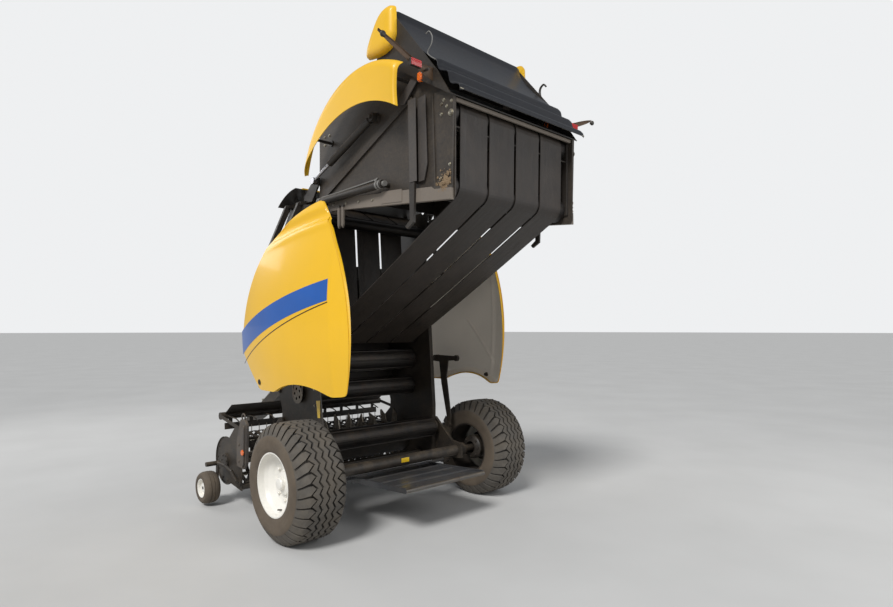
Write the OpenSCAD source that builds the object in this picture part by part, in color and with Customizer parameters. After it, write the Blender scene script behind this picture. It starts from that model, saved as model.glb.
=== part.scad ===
// Round baler with its tailgate raised, towed by a drawbar.
// X points forwards along the travel, Y to the left and Z up. The places below are measured
// from the ground under the wheel axle; machine() then moves them so that the origin
// lies on the ground under the middle of the whole machine.

/* [Wheels] */
// Outer radius of a main tyre over its tread
tyre_r = 473; // [455:1:500]
// Width of a main tyre
tyre_w = 444; // [380:2:470]
// Centre plane of the machine to the middle of a main tyre
track_half = 1060; // [1050:5:1120]
// Radius of the rim where the tyre sits
rim_r = 250; // [240:1:258]
// Radius of the wheel spindle
spindle_r = 32; // [25:1:40]
// Outer radius of a gauge wheel
gauge_r = 150; // [140:1:170]
// Width of a gauge wheel
gauge_w = 146; // [120:1:160]
// Gap between the pickup's side plate and a gauge wheel
gauge_gap = 100; // [90:2:130]

/* [Bale chamber] */
// Half of the clear width between the frame's side walls
chamber_half = 650; // [600:5:680]
// Thickness of a side wall
wall_t = 8; // [5:1:12]
// Gap between a frame wall and the tailgate wall that swings past it
wall_gap = 6; // [5:1:10]
// Forward place of the tailgate's pivot
pivot_x = 450; // [430:1:470]
// Height of the tailgate's pivot
pivot_z = 2660; // [2630:1:2690]
// Radius of the tailgate's pivot stub
pivot_r = 45; // [35:1:55]
// Width of one belt
belt_w = 270; // [220:5:280]
// Gap between two belts
belt_gap = 24; // [15:1:40]
// Thickness of a belt
belt_t = 7; // [5:1:10]

/* [Drawbar and jack] */
// Forward place of the hitch eye
hitch_x = 3100; // [3000:10:3300]
// Height of the hitch eye
hitch_z = 500; // [450:5:560]
// Bore radius of the hitch eye
hitch_bore_r = 17; // [14:0.5:25]
// Outer radius of the hitch eye
hitch_r = 55; // [45:1:65]
// Forward place of the drawbar jack
jack_x = 2380; // [2200:10:2500]
// Radius of the jack's leg
jack_r = 30; // [25:1:35]

/* [Pickup] */
// Half of the clear width between the pickup's side plates
pickup_half = 1010; // [960:5:1030]
// Forward place of the pickup reel
reel_x = 1420; // [1410:5:1450]
// Height of the pickup reel
reel_z = 400; // [395:5:430]
// Radius of the circle that the tine tips run on
tine_tip_r = 320; // [290:1:322]
// Number of tine bars round the reel
tine_bars = 4; // [3:1:6]
// Distance between neighbouring stripper bands
band_pitch = 80; // [70:1:100]

/* [Tailgate shell] */
// Distance from the centre plane to the middle of a front panel's bulge
panel_y = 1060; // [1040:1:1080]
// Thickness of a front side panel
panel_t = 10; // [6:1:14]
// How far the rolled edge of a side shield turns in
shield_depth = 70; // [60:1:75]
// Rearmost place of the net cover's lip
rear_x = -1490; // [-1520:1:-1470]
// Height of the net cover's top edge
cover_top_z = 4000; // [3980:1:4020]

/* [Hidden] */
$fn = 64;

yellow = [0.93, 0.72, 0.06];
black = [0.07, 0.07, 0.08];
grey = [0.55, 0.56, 0.57];
dark = [0.16, 0.16, 0.17];
white = [0.9, 0.9, 0.88];
steel = [0.62, 0.63, 0.65];
orange = [0.95, 0.45, 0.1];

// Running clearance of a pin in its bore, and the gap left where one piece seats on another
run = 0.05;
seat = 0.3;
axle_z = tyre_r - 3;
mid_x = (hitch_x + hitch_r + rear_x) / 2;
wall_out = chamber_half + wall_t;
gate_in = wall_out + wall_gap;
gate_t = wall_t;
gate_out = gate_in + gate_t;
pickup_plate = 8;
gauge_y = pickup_half + pickup_plate + gauge_gap + gauge_w / 2;
hood_half = chamber_half + 50;
// Outer faces of the net wrap box, of its end caps and of the wings that hold the lamps
net_half = gate_out + 50;
cap_out = net_half + 63;
wing_out = cap_out + 405;
// Outer face of the side shields
shield_y = cap_out + shield_depth + 5;

// Steel rolls of the frame: [x, z, radius]
chamber_roll_table = [
  [630, 1360, 100],
  [640, 1080, 90],
  [300, 675, 95]
];
// Rolls that carry the belts on the frame, from the pivot forwards and down: [x, z, radius]
pivot_roll = [pivot_x, pivot_z, 52];
front_roll = [665, 2780, 55];
low_roll = [575, 1590, 60];
// Rolls that carry the belts on the tailgate: [x, z, radius]
gate_front_roll = [170, 3280, 60];
gate_upper_roll = [-1250, 3150, 95];
gate_lower_roll = [-1245, 2650, 95];
roll_end = 18;
shaft_r = 24;

feeder_x = 850;
feeder_z = 600;
feeder_r = 218;
lift_x = 950;
lift_z = 770;

// Lift cylinder: its pin on the frame's post and its pin on the tailgate
ram_frame = [300, 2950];
ram_gate = [-550, 3280];
ram_y = gate_out + 52;
ram_barrel_r = 28;
ram_rod_r = 14;
ram_pin_r = 16;

// Top hood: centre and outer radius of its curve, and the angles of the tabs under it
hood_c = [500, 2350];
hood_r = 583;
hood_tabs = [80, 66, 52];
hood_low = 2797;

// Front side panels: a shell curved both ways, cut by arcs; [x, z, radius]
panel_rear_arc = [1328, 1600, 1800];
panel_front_arc = [-409, 1132, 1600];
panel_arch = [87, 335, 882];
bulge_x = 450;
bulge_z = 1750;
bulge_h = 3100;
bulge_v = 3900;
// Hinge line of a side panel in Y and Z, and where its two brackets stand along X
panel_hinge = [gate_out + 68, 2780];
hinge_places = [470, 690];
hinge_plate = 12;
hinge_pin_r = 10;

// Pin of the lock's crank on the frame wall, and how far out the crank stands
crank = [352, 1370];
crank_y = gate_out + 63;
// Knobs on it: [x, z, radius]
crank_knobs = [[310, 1372, 34], [34, 1378, 30], [145, 705, 28]];

drawbar_end = hitch_x - hitch_r - 5;
// Half of the drawbar's width at the frame
bar_half = chamber_half - 90;
input_r = 17.5;
shaft_end = [2680, 987];
pickup_tube = [1100, 200, 26];
band_r = 252;
band_tail = [1108, 236];
deck_bar = [1112, 640];
deck_bar_r = 12;
guard_pivot = [1190, 725];
guard_front = [1640, 800];
guard_rods = 5;
ramp_pin = [180, 348];
ramp_end = [-610, 396];

function dist(a, b) = sqrt(pow(a[0] - b[0], 2) + pow(a[1] - b[1], 2));
function heading(a, b) = atan2(b[1] - a[1], b[0] - a[0]);

// Angle of the normal of the common tangent of two rolls, on the side s of the way from a to b
function tangent(a, b, s) = heading(a, b) + s * acos((a[2] - b[2]) / dist(a, b));
function rim_point(c, r, angle) = [c[0] + r * cos(angle), c[1] + r * sin(angle)];

// Outline of a belt that runs over a list of rolls on the side s; first and last are the
// angles at which it starts and ends on the outer rolls
function belt_angles(rolls, s, first, last) = let (n = len(rolls) - 1) [
  for (i = [0:n])
    let (
      a = i == 0 ? first : tangent(rolls[i - 1], rolls[i], s),
      b = i == n ? last : tangent(rolls[i], rolls[i + 1], s),
      turn = s > 0 ? -((a - b + 720) % 360) : (b - a + 720) % 360
    )
    [a, abs(turn) < 340 ? turn : 0]
];
function belt_side(rolls, spans, extra) = [
  for (i = [0:len(rolls) - 1], k = [0:6])
    rim_point(rolls[i], (rolls[i][2] + extra) / cos(spans[i][1] / 12), spans[i][0] + spans[i][1] * k / 6)
];
function reversed(list) = [for (i = [len(list) - 1:-1:0]) list[i]];
function belt_outline(rolls, s, first, last) =
  let (spans = belt_angles(rolls, s, first, last))
  concat(belt_side(rolls, spans, 0.5), reversed(belt_side(rolls, spans, 0.5 + belt_t)));

module machine() translate([-mid_x, 0, 0]) children();

// Extrudes a side view, drawn in X and Z, across the machine from y0 to y1
module across(y0, y1) translate([0, y1, 0]) rotate([90, 0, 0]) linear_extrude(y1 - y0) children();

// A round bar across the machine
module bar(x, z, r, y0, y1) translate([x, y0, z]) rotate([-90, 0, 0]) cylinder(r=r, h=y1 - y0);

// The same thing on both sides
module both() {
  children();
  mirror([0, 1, 0]) children();
}

// Side s is 1 on the left and -1 on the right
module on_side(s) if (s > 0) children(); else mirror([0, 1, 0]) children();

// A rod between two points of a side view, at one distance from the centre plane
module rod(a, b, y, r) translate([a[0], y, a[1]]) rotate([0, 90 - heading(a, b), 0])
  cylinder(r=r, h=dist(a, b));

// A bent round tube through points in space, with a ball in each bend
module tube(points, r) for (i = [0:len(points) - 2]) {
  d = points[i + 1] - points[i];
  translate(points[i]) rotate([0, acos(d[2] / norm(d)), atan2(d[1], d[0])]) cylinder(r=r, h=norm(d));
  if (i > 0) translate(points[i]) sphere(r=r + 0.6);
}

// A flat bar between two points of a side view
module strap(a, b, half, y0, y1) across(y0, y1)
  polygon([for (p = [[a, 1], [b, 1], [b, -1], [a, -1]])
    p[0] + p[1] * half * [-sin(heading(a, b)), cos(heading(a, b))]]);

module roll(c, half, seat_y) {
  bar(c[0], c[1], c[2], -half, half);
  bar(c[0], c[1], shaft_r, -seat_y + seat, seat_y - seat);
}

module belts(outline) {
  pitch = belt_w + belt_gap;
  for (i = [-1.5:1:1.5]) across(i * pitch - belt_w / 2, i * pitch + belt_w / 2) polygon(outline);
}

wall_points = [
  [290, 330], [290, 900], [400, 2300], [372, 2480], [372, 2780], [470, 2880], [620, 2865],
  [860, 2745], [1005, 2560], [1050, 2350], [1050, 1060], [985, 900], [985, 640], [900, 400],
  [600, 330]
];

module chamber_wall() {
  difference() {
    union() {
      across(chamber_half, wall_out) polygon(wall_points);
      // folded stiffener along the rear edge and the front edge
      across(wall_out, wall_out + 36)
        polygon([[290, 330], [290, 900], [400, 2300], [455, 2300], [345, 900], [345, 330]]);
      across(wall_out, wall_out + 16)
        polygon([[1050, 2300], [1050, 1060], [1010, 1060], [1010, 2300]]);
      // bearing housings of the rolls
      for (c = chamber_roll_table) bar(c[0], c[1], 62, wall_out, wall_out + 22);
      for (c = [front_roll, low_roll]) bar(c[0], c[1], 48, wall_out, wall_out + 22);
      bar(feeder_x, feeder_z, 70, wall_out, wall_out + 22);
      // tabs that the top hood rests on
      for (a = hood_tabs) strap(rim_point(hood_c, 470, a), rim_point(hood_c, hood_r - 11.5, a), 28,
        chamber_half, wall_out);
      // stub that the tailgate turns on
      bar(pivot_x, pivot_z, pivot_r, wall_out, gate_out + 34);
      // brackets and pins that the side panel hangs on
      for (x = hinge_places) {
        translate([x, 0, 0]) rotate([90, 0, 90]) linear_extrude(hinge_plate) polygon([
          [wall_out, 2785], [wall_out, 2825], [panel_hinge[0] - 12, panel_hinge[1] + 18],
          [panel_hinge[0] + 16, panel_hinge[1] + 10], [panel_hinge[0] + 16, panel_hinge[1] - 14]
        ]);
        translate([x, panel_hinge[0], panel_hinge[1]]) rotate([0, 90, 0])
          cylinder(r=hinge_pin_r, h=hinge_plate + 40);
      }
      // foot and plate that carry the lift cylinder's pin
      across(wall_out, ram_y - 24) polygon([[372, 2790], [505, 2790], [505, 2850], [372, 2850]]);
      across(ram_y - 40, ram_y - 24) polygon([
        [372, 2790], [505, 2790], [505, 2850], [ram_frame[0] + 34, ram_frame[1] + 30],
        [ram_frame[0] - 34, ram_frame[1] + 30], [ram_frame[0] - 36, ram_frame[1] - 30]
      ]);
      // stub that the pickup hangs on
      bar(lift_x, lift_z, 30, wall_out, wall_out + 50);
      // crank of the tailgate's lock, with its three knobs
      bar(crank[0], crank[1], 18, wall_out, crank_y + 12);
      across(crank_y, crank_y + 12) polygon([
        [372, 1398], [330, 1404], [34, 1398], [12, 1380], [34, 1358], [150, 1348], [175, 1180],
        [108, 780], [125, 690], [160, 690], [168, 780], [250, 1120], [280, 1335], [372, 1342]
      ]);
      for (c = crank_knobs) bar(c[0], c[1], c[2], crank_y - 6, crank_y + 20);
      // keeper of the tailgate latch
      bar(424, 1243, 14, wall_out, wall_out + 76);
    }
    // access hole to the belts' front rolls
    bar(low_roll[0] + 280, 1750, 90, chamber_half - 1, wall_out + 1);
  }
}

module chamber_walls() color(dark) both() chamber_wall();

module cross_members() color(dark) {
  for (c = [[985, 2230], [985, 1200]])
    translate([c[0] - 40, -chamber_half + seat, c[1] - 40]) cube([80, 2 * (chamber_half - seat), 80]);
  // sheet across the chamber's front, below the front shield
  translate([1021, -chamber_half + seat, 1239]) cube([4, 2 * (chamber_half - seat), 400]);
  // lip below it, over the mouth that the crop enters by
  translate([1021, -chamber_half + seat, 1048]) cube([4, 2 * (chamber_half - seat), 120]);
  // curved pan under the feeder
  difference() {
    bar(feeder_x, feeder_z, feeder_r + 26, -chamber_half + seat, chamber_half - seat);
    bar(feeder_x, feeder_z, feeder_r + 18, -chamber_half, chamber_half);
    translate([feeder_x - 400, -chamber_half, feeder_z - 60]) cube([800, 2 * chamber_half, 500]);
  }
  translate([460, -chamber_half + seat, 345]) cube([70, 2 * (chamber_half - seat), 70]);
}

module axle_beam() color(dark) {
  bar(0, axle_z, 50, -wall_out - 132, wall_out + 132);
  both() {
    bar(0, axle_z, spindle_r, wall_out + 122, track_half + 120);
    across(wall_out + 36 + seat, wall_out + 66)
      polygon([[-75, 400], [-75, 540], [60, 560], [300, 770], [420, 770], [420, 320], [150, 320], [60, 385]]);
    bar(0, axle_z, 62, wall_out + 62, wall_out + 132);
  }
}

// Side view of the drawbar: [x, underside, top]
drawbar_table = [
  [1050 + seat, 1105, 1290], [1950, 1010, 1160], [2780, 560, 690], [drawbar_end, 455, 545]
];

module drawbar() color(dark) {
  intersection() {
    across(50 - chamber_half, chamber_half - 50) polygon(concat(
      [for (p = drawbar_table) [p[0], p[1]]],
      reversed([for (p = drawbar_table) [p[0], p[2]]])
    ));
    difference() {
      linear_extrude(2000) polygon([
        [1000, -bar_half], [1120, -bar_half], [1960, -75], [hitch_x, -60], [hitch_x, 60], [1960, 75],
        [1120, bar_half], [1000, bar_half]
      ]);
      translate([0, 0, -1]) linear_extrude(2002)
        polygon([[1150, 120 - bar_half], [1760, -80], [1760, 80], [1150, bar_half - 120]]);
    }
  }
  // cross tube that bolts the drawbar to the frame walls
  translate([1050 + seat, -chamber_half, 1130]) cube([70, 2 * chamber_half, 130]);
  // cradle that holds the drive shaft while the baler is parked
  translate([2430, -40, 860]) cube([20, 80, 158]);
  // saddle that the jack is clamped to
  translate([jack_x - 50, -125, 870]) cube([100, 66, 50]);
}

module hitch_eye() color(steel) difference() {
  union() {
    translate([hitch_x, 0, hitch_z - 22]) cylinder(r=hitch_r, h=44);
    translate([drawbar_end + seat, -45, hitch_z - 20]) cube([40, 90, 40]);
  }
  translate([hitch_x, 0, hitch_z - 30]) cylinder(r=hitch_bore_r, h=60);
}

module jack_sleeve() color(black) translate([jack_x, -170, 0]) {
  difference() {
    translate([0, 0, 480]) cylinder(r=jack_r + 9, h=600);
    translate([0, 0, 479]) cylinder(r=jack_r + run, h=560);
  }
  translate([-30, jack_r + 4, 860]) cube([60, 45 - jack_r - 4 - seat, 70]);
  // crank on the jack's head
  translate([0, 0, 1080]) cylinder(r=12, h=60);
  translate([0, 0, 1128]) rotate([90, 0, 0]) cylinder(r=9, h=150);
  translate([0, -150, 1080]) cylinder(r=14, h=60);
}

module jack_leg() color(grey) translate([jack_x, -170, 0]) {
  cylinder(r=110, h=12);
  cylinder(r=jack_r, h=600);
}

module gearbox() color(dark) {
  translate([1050 + 24, -120, 1290 + seat]) cube([190, 240, 260]);
  bar(1160, 1420, 85, -160, 160);
  bar(1160, 1420, 24, -wall_out - 22, wall_out + 22);
  translate([1160, 0, 1420]) rotate([0, 90, 0]) cylinder(r=60, h=150);
  translate([1160, 0, 1420]) rotate([0, 90, 0]) cylinder(r=input_r, h=240);
}

module driveline() color(black) difference() {
  union() {
    translate([1330, 0, 1420]) rotate([0, 90, 0]) cylinder(r=36, h=110);
    rod([1430, 1412], shaft_end, 0, 44);
    rod(shaft_end - 20 * unit([1440, 1407], shaft_end), shaft_end + 90 * unit([1440, 1407], shaft_end),
      0, 36);
  }
  translate([1320, 0, 1420]) rotate([0, 90, 0]) cylinder(r=input_r + run, h=85);
  rod(shaft_end + 20 * unit([1440, 1407], shaft_end), shaft_end + 120 * unit([1440, 1407], shaft_end),
    0, input_r);
}

module front_shield() color(black) {
  across(-hood_half, hood_half)
    polygon([[1075, 1600], [1083, 1600], [1083, 2340], [1075, 2340]]);
  both() for (z = [1700, 2200]) translate([1050 + seat, chamber_half - 30, z]) cube([28, 38, 60]);
}

module top_hood() color(yellow) difference() {
  bar(hood_c[0], hood_c[1], hood_r, -hood_half, hood_half, $fn=240);
  bar(hood_c[0], hood_c[1], hood_r - 10, -hood_half - 1, hood_half + 1, $fn=240);
  translate([-200, -hood_half - 2, 1000]) cube([730, 2 * hood_half + 4, 2200]);
  translate([-200, -hood_half - 2, 1000]) cube([1800, 2 * hood_half + 4, hood_low - 1000]);
}

module chamber_rolls() color(steel) for (c = chamber_roll_table) {
  roll(c, chamber_half - roll_end, chamber_half);
  for (k = [0:5]) bar(c[0] + (c[2]) * cos(k * 60), c[1] + (c[2]) * sin(k * 60), 7,
    -chamber_half + roll_end, chamber_half - roll_end);
}

module front_belt_rolls() color(steel) for (c = [pivot_roll, front_roll, low_roll])
  roll(c, chamber_half - roll_end, chamber_half);

// belts over the pivot roll, the front roll and down the chamber's front to the low roll
module front_belts() color(black)
  belts(belt_outline([pivot_roll, front_roll, low_roll], 1, 115, -20));

module inner_belts() color(black) {
  s = tangent(gate_lower_roll, low_roll, -1);
  belts(belt_outline([gate_lower_roll, low_roll], -1, s, s));
}

// Sprockets on the left wall, from the gearbox to the rolls: [x, z, pitch radius, teeth]
sprockets = [[1160, 1420, 80, 14], [630, 1360, 95, 16], [640, 1080, 85, 15]];
chain_pitch = 36;

module sprocket(c) {
  difference() {
    union() {
      circle(r=c[2] - 7);
      for (k = [0:c[3] - 1]) rotate(k * 360 / c[3])
        polygon([[c[2] - 12, -9], [c[2] + 4, -3], [c[2] + 4, 3], [c[2] - 12, 9]]);
    }
    for (k = [0:4]) rotate(k * 72) translate([c[2] * 0.55, 0]) circle(r=c[2] * 0.16, $fn=24);
  }
}

// Middle line of a chain round two sprockets, as points one link apart on each straight and arc
function chain_line(a, b) =
  let (
    up = tangent(a, b, 1), down = tangent(a, b, -1),
    n = round(dist(a, b) / chain_pitch),
    m = round(a[2] * (360 - (up - down)) * PI / 180 / chain_pitch),
    k = round(b[2] * (up - down) * PI / 180 / chain_pitch)
  )
  concat(
    [for (i = [0:n - 1]) rim_point(a, a[2], up) * (1 - i / n) + rim_point(b, b[2], up) * i / n],
    [for (i = [0:k - 1]) rim_point(b, b[2], up - (up - down) * i / k)],
    [for (i = [0:n - 1]) rim_point(b, b[2], down) * (1 - i / n) + rim_point(a, a[2], down) * i / n],
    [for (i = [0:m - 1]) rim_point(a, a[2], down - (360 - (up - down)) * i / m)]
  );

// A chain seen from its side: a plate between each two pins, with an eye round each pin
module chain(a, b, y) {
  line = chain_line(a, b);
  across(y, y + 6) for (i = [0:len(line) - 1]) {
    p = line[i];
    q = line[(i + 1) % len(line)];
    translate(p) circle(r=9, $fn=8);
    polygon([for (e = [[p, 1], [q, 1], [q, -1], [p, -1]])
      e[0] + e[1] * 5.5 * [-sin(heading(p, q)), cos(heading(p, q))]]);
  }
}

module drive_chains() color(steel) {
  y = wall_out + 22 + seat;
  for (c = sprockets) translate([c[0], y + 12, c[1]]) rotate([90, 0, 0]) linear_extrude(12) sprocket(c);
  chain(sprockets[0], sprockets[1], y + 1);
  chain([sprockets[1][0], sprockets[1][1], 85], sprockets[2], y + 7);
  bar(sprockets[1][0], sprockets[1][1], 80, y, y + 13);
}

module feeder_rotor() color(steel) {
  bar(feeder_x, feeder_z, 70, -chamber_half + 10, chamber_half - 10);
  bar(feeder_x, feeder_z, 30, -chamber_half + seat, chamber_half - seat);
  for (i = [0:10]) {
    y = -chamber_half + 55 + i * (2 * chamber_half - 110) / 10;
    translate([feeder_x, y - 6, feeder_z]) rotate([0, i * 17, 0]) rotate([-90, 0, 0])
      for (k = [0:3]) rotate([0, 0, k * 90])
        linear_extrude(12) polygon([[50, -45], [150, -40], [feeder_r, 10], [feeder_r - 6, 20],
          [140, 30], [50, 45]]);
  }
}

module pickup_frame() color(black) {
  both() {
    // outer side plate of the pickup
    across(pickup_half, pickup_half + pickup_plate) polygon([
      [1080, 165], [1080, 640], [1150, 752], [1215, 752], [reel_x - 60, 620], [reel_x - 60, 200]
    ]);
    bar(reel_x, reel_z, 228, pickup_half, pickup_half + pickup_plate);
    bar(reel_x, reel_z, 70, pickup_half + pickup_plate, pickup_half + pickup_plate + 22);
    // arm back to the stub on the frame
    difference() {
      union() {
        across(wall_out + 10, wall_out + 30)
          polygon([[900, 730], [930, 830], [990, 825], [1140, 690], [1140, 620], [1120, 575],
            [1120, 560], [1060, 560]]);
      }
      bar(lift_x, lift_z, 30 + run, wall_out - 1, wall_out + 60);
      bar(deck_bar[0], deck_bar[1], deck_bar_r + run, wall_out - 1, wall_out + 60);
    }
    translate([1075, wall_out + 10, 560]) cube([45, pickup_half - wall_out - 10, 55]);
  }
  bar(pickup_tube[0], pickup_tube[1], pickup_tube[2], -pickup_half, pickup_half);
}

// One stripper band: a ring round the reel whose ends run back, clear of the tines
module band() {
  low = rim_point([reel_x, reel_z], band_r - 3, 198);
  high = rim_point([reel_x, reel_z], band_r - 3, 112);
  difference() {
    bar(reel_x, reel_z, band_r, -20, 20);
    bar(reel_x, reel_z, band_r - 6, -21, 21);
    across(-21, 21) polygon([[reel_x, reel_z], rim_point([reel_x, reel_z], 600, 198),
      rim_point([reel_x, reel_z], 600, 155), rim_point([reel_x, reel_z], 600, 112)]);
  }
  strap(low, band_tail, 3, -20, 20);
  strap(high, deck_bar, 3, -20, 20);
}

module stripper_bands() color(black) {
  count = floor((pickup_half - 60) / band_pitch);
  for (i = [-count:count]) translate([0, i * band_pitch, 0]) band();
  bar(band_tail[0], band_tail[1], dist(band_tail, pickup_tube) - pickup_tube[2] - seat,
    -pickup_half + 30, pickup_half - 30);
  bar(deck_bar[0], deck_bar[1], deck_bar_r, -pickup_half + seat, pickup_half - seat);
}

gauge_x = reel_x + 10;
gauge_z = gauge_r + 20;
gauge_leg = gauge_y - gauge_w / 2 - 16;
// Bends of a gauge wheel's arm from the pickup's side plate forwards over the wheel's inner side
gauge_bends = [
  [1115, pickup_half + pickup_plate + 10, 250], [1118, pickup_half + 45, 262],
  [1160, pickup_half + 75, 350], [1250, gauge_leg, 385], [gauge_x - 4, gauge_leg, 385]
];

module gauge_arms() color(black) both() {
  tube(gauge_bends, 17);
  bar(1115, 250, 40, pickup_half + pickup_plate + seat, pickup_half + pickup_plate + 16);
  // cross head over the wheel and the leg that holds its stub axle
  bar(gauge_x, 385, 22, gauge_leg - 24, gauge_y + 20);
  across(gauge_leg - 6, gauge_leg + 6) polygon([
    [gauge_x - 26, gauge_z - 20], [gauge_x + 26, gauge_z - 20], [gauge_x + 20, 380], [gauge_x - 20, 380]
  ]);
  bar(gauge_x, gauge_z, 14, gauge_leg, gauge_y + 50);
}

module gauge_wheel() translate([gauge_x, gauge_y, gauge_z]) rotate([-90, 0, 0])
  rotate_extrude() polygon([
    [14 + run, -45], [14 + run, 45], [46, 45], [58, 20], [76, 24], [80, gauge_w / 2 - 8],
    [88, gauge_w / 2], [gauge_r - 26, gauge_w / 2], [gauge_r - 8, gauge_w / 2 - 12],
    [gauge_r, gauge_w / 2 - 34], [gauge_r, 34 - gauge_w / 2], [gauge_r - 8, 12 - gauge_w / 2],
    [gauge_r - 26, -gauge_w / 2], [88, -gauge_w / 2], [80, 8 - gauge_w / 2], [76, -24], [58, -20],
    [46, -45]
  ]);

module gauge_wheel_left() color(black) gauge_wheel();
module gauge_wheel_right() color(black) on_side(-1) gauge_wheel();

module wind_guard() color(black) {
  both() {
    strap(guard_pivot, guard_front, 16, pickup_half - 30, pickup_half - 22);
    bar(guard_pivot[0], guard_pivot[1], 18, pickup_half - 30, pickup_half - seat);
  }
  bar(guard_front[0], guard_front[1], 36, -pickup_half + 22, pickup_half - 22);
  // sheet that keeps the crop from flying over
  strap(guard_front + [-18, 18], [1455, 925], 2.5, 60 - pickup_half, pickup_half - 60);
  // rods that hold the crop down, each bent down at its free end
  for (i = [-guard_rods:guard_rods]) {
    y = i * (pickup_half - 90) / guard_rods;
    tube([[guard_front[0], y, guard_front[1]], [1420, y, 792], [1330, y, 762]], 6);
  }
}

module pickup_reel() color(steel) {
  bar(reel_x, reel_z, 45, -pickup_half + 20, pickup_half - 20);
  bar(reel_x, reel_z, 20, -pickup_half + seat, pickup_half - seat);
  count = floor((pickup_half - 60) / band_pitch);
  for (k = [0:tine_bars - 1]) translate([reel_x, 0, reel_z]) rotate([0, k * 360 / tine_bars, 0]) {
    translate([160, -pickup_half + 30, 0]) rotate([-90, 0, 0])
      cylinder(r=14, h=2 * pickup_half - 60);
    for (y = [-pickup_half + 30, -6, pickup_half - 42]) translate([0, y, -20]) cube([160, 12, 40]);
    for (i = [-count:count - 1]) translate([150, (i + 0.5) * band_pitch, 0]) rotate([0, 90, 0])
      cylinder(r=3.5, h=tine_tip_r - 150, $fn=16);
  }
}

// Section of a tyre: [share of the way from bead to crown, how far it stays in from the full half width]
tyre_section = [
  [0, 16], [0.12, 6], [0.35, 0], [0.53, 8], [0.69, 24], [0.82, 42], [0.92, 62], [0.975, 80], [1, 100]
];
function tyre_at(f) = rim_r + seat + (tyre_r - rim_r - seat) * f;

module tyre() translate([0, track_half, axle_z]) rotate([-90, 0, 0]) rotate_extrude($fn=96)
  polygon(concat(
    [for (p = tyre_section) [tyre_at(p[0]), tyre_w / 2 - p[1]]],
    reversed([for (p = tyre_section) [tyre_at(p[0]), p[1] - tyre_w / 2]])
  ));

module tyre_left() color(black) tyre();
module tyre_right() color(black) on_side(-1) tyre();

// A rolled well with a dished disc and its hub, nearly flush with the tyre's outer side
module rim() translate([0, track_half, axle_z]) rotate([-90, 0, 0]) rotate_extrude() polygon([
  [spindle_r + run, -60], [70, -60], [70, 50], [108, 70], [164, 84], [rim_r - 36, 116],
  [rim_r - 12, 140], [rim_r - 12, 16 - tyre_w / 2], [rim_r, 16 - tyre_w / 2],
  [rim_r, tyre_w / 2 - 16], [rim_r - 10, tyre_w / 2 - 16], [rim_r - 18, 158], [rim_r - 34, 132],
  [170, 98], [112, 84], [92, 84], [88, 112], [60, 122], [spindle_r + run, 122]
]);

module rim_left() color(white) rim();
module rim_right() color(white) on_side(-1) rim();

gate_points = [
  [290, 2640], [290, 3450], [-250, 3600], [-600, 3695], [-1400, 3218],
  [-1400, 2560], [-1385, 2530], [70, 2660]
];

module gate_wall() {
  difference() {
    union() {
      across(gate_in, gate_out) polygon(gate_points);
      across(gate_in, gate_out) polygon([[290, 2640], [290, 2800], [420, 2765], [555, 2660],
        [480, 2555], [400, 2560]]);
      bar(pivot_x, pivot_z, 105, gate_in, gate_out + 12);
      // light mating beam along the edge that meets the frame
      across(gate_out, gate_out + 30) polygon([[70, 2660], [70, 2755], [-1385, 2625], [-1385, 2530]]);
      // bracket and two fingers on the beam
      across(gate_out + 30, gate_out + 34) polygon([[-640, 2700], [-640, 2610], [-880, 2590], [-880, 2680]]);
      for (x = [-70, -125]) across(gate_out + 28, gate_out + 44)
        polygon([[x + 14, 2680], [x + 12, 2520], [x - 4, 2490], [x - 14, 2520], [x - 14, 2680]]);
      // upright channel over the latch hook, the diagonal rib and the folded plate at the rear end
      difference() {
        across(gate_out, gate_out + 48) polygon([[-985, 2706], [-965, 3290], [-1045, 3290], [-1060, 2706]]);
        across(gate_out - 1, gate_out + 42) polygon([[-993, 2700], [-973, 3300], [-1070, 3300],
          [-1085, 2700]]);
      }
      strap([150, 2830], [-960, 3330], 26, gate_out, gate_out + 16);
      difference() {
        across(gate_out, gate_out + 26) polygon([[-1195, 3280], [-1225, 2622], [-1385, 2608], [-1400, 3218],
          [-1300, 3277]]);
        across(gate_out + 20, gate_out + 27) polygon([[-1207, 3290], [-1237, 2600], [-1410, 2600],
          [-1410, 3290]]);
      }
      bar(ram_gate[0], ram_gate[1], ram_pin_r, gate_out, ram_y + 40);
      bar(ram_gate[0], ram_gate[1], 40, gate_out, ram_y - 22);
    }
    bar(pivot_x, pivot_z, pivot_r + run, gate_in - 1, gate_out + 20);
  }
}

module tailgate_walls() color(grey) both() gate_wall();

module tailgate_beams() color(dark) {
  half = gate_in - seat;
  // roof sheet, rear sheet and two cross tubes
  across(-half, half) polygon([[282, 2840], [290, 2840], [290, 3440], [282, 3440]]);
  across(-half, half) polygon([[282, 3440], [290, 3450], [-250, 3600], [-600, 3695], [-600, 3685],
    [-250, 3590]]);
  across(-half, half) polygon([[200, 3370], [270, 3370], [270, 3440], [200, 3440]]);
}

module tailgate_rolls() color(steel) for (c = [gate_front_roll, gate_upper_roll, gate_lower_roll])
  roll(c, gate_in - roll_end, gate_in);

module tailgate_belts() color(black)
  belts(belt_outline([gate_front_roll, gate_upper_roll, gate_lower_roll], -1,
    0, tangent(gate_lower_roll, low_roll, -1) - 0.3));

// Side shields: an outer circle less an inner one, [x, z, radius] with the tailgate raised
shield_outer = [-567, 2774, 875];
shield_inner = [-497, 2356, 994];
shield_stays = [[100, 3238], [-560, 3500], [-930, 3440]];

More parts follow.
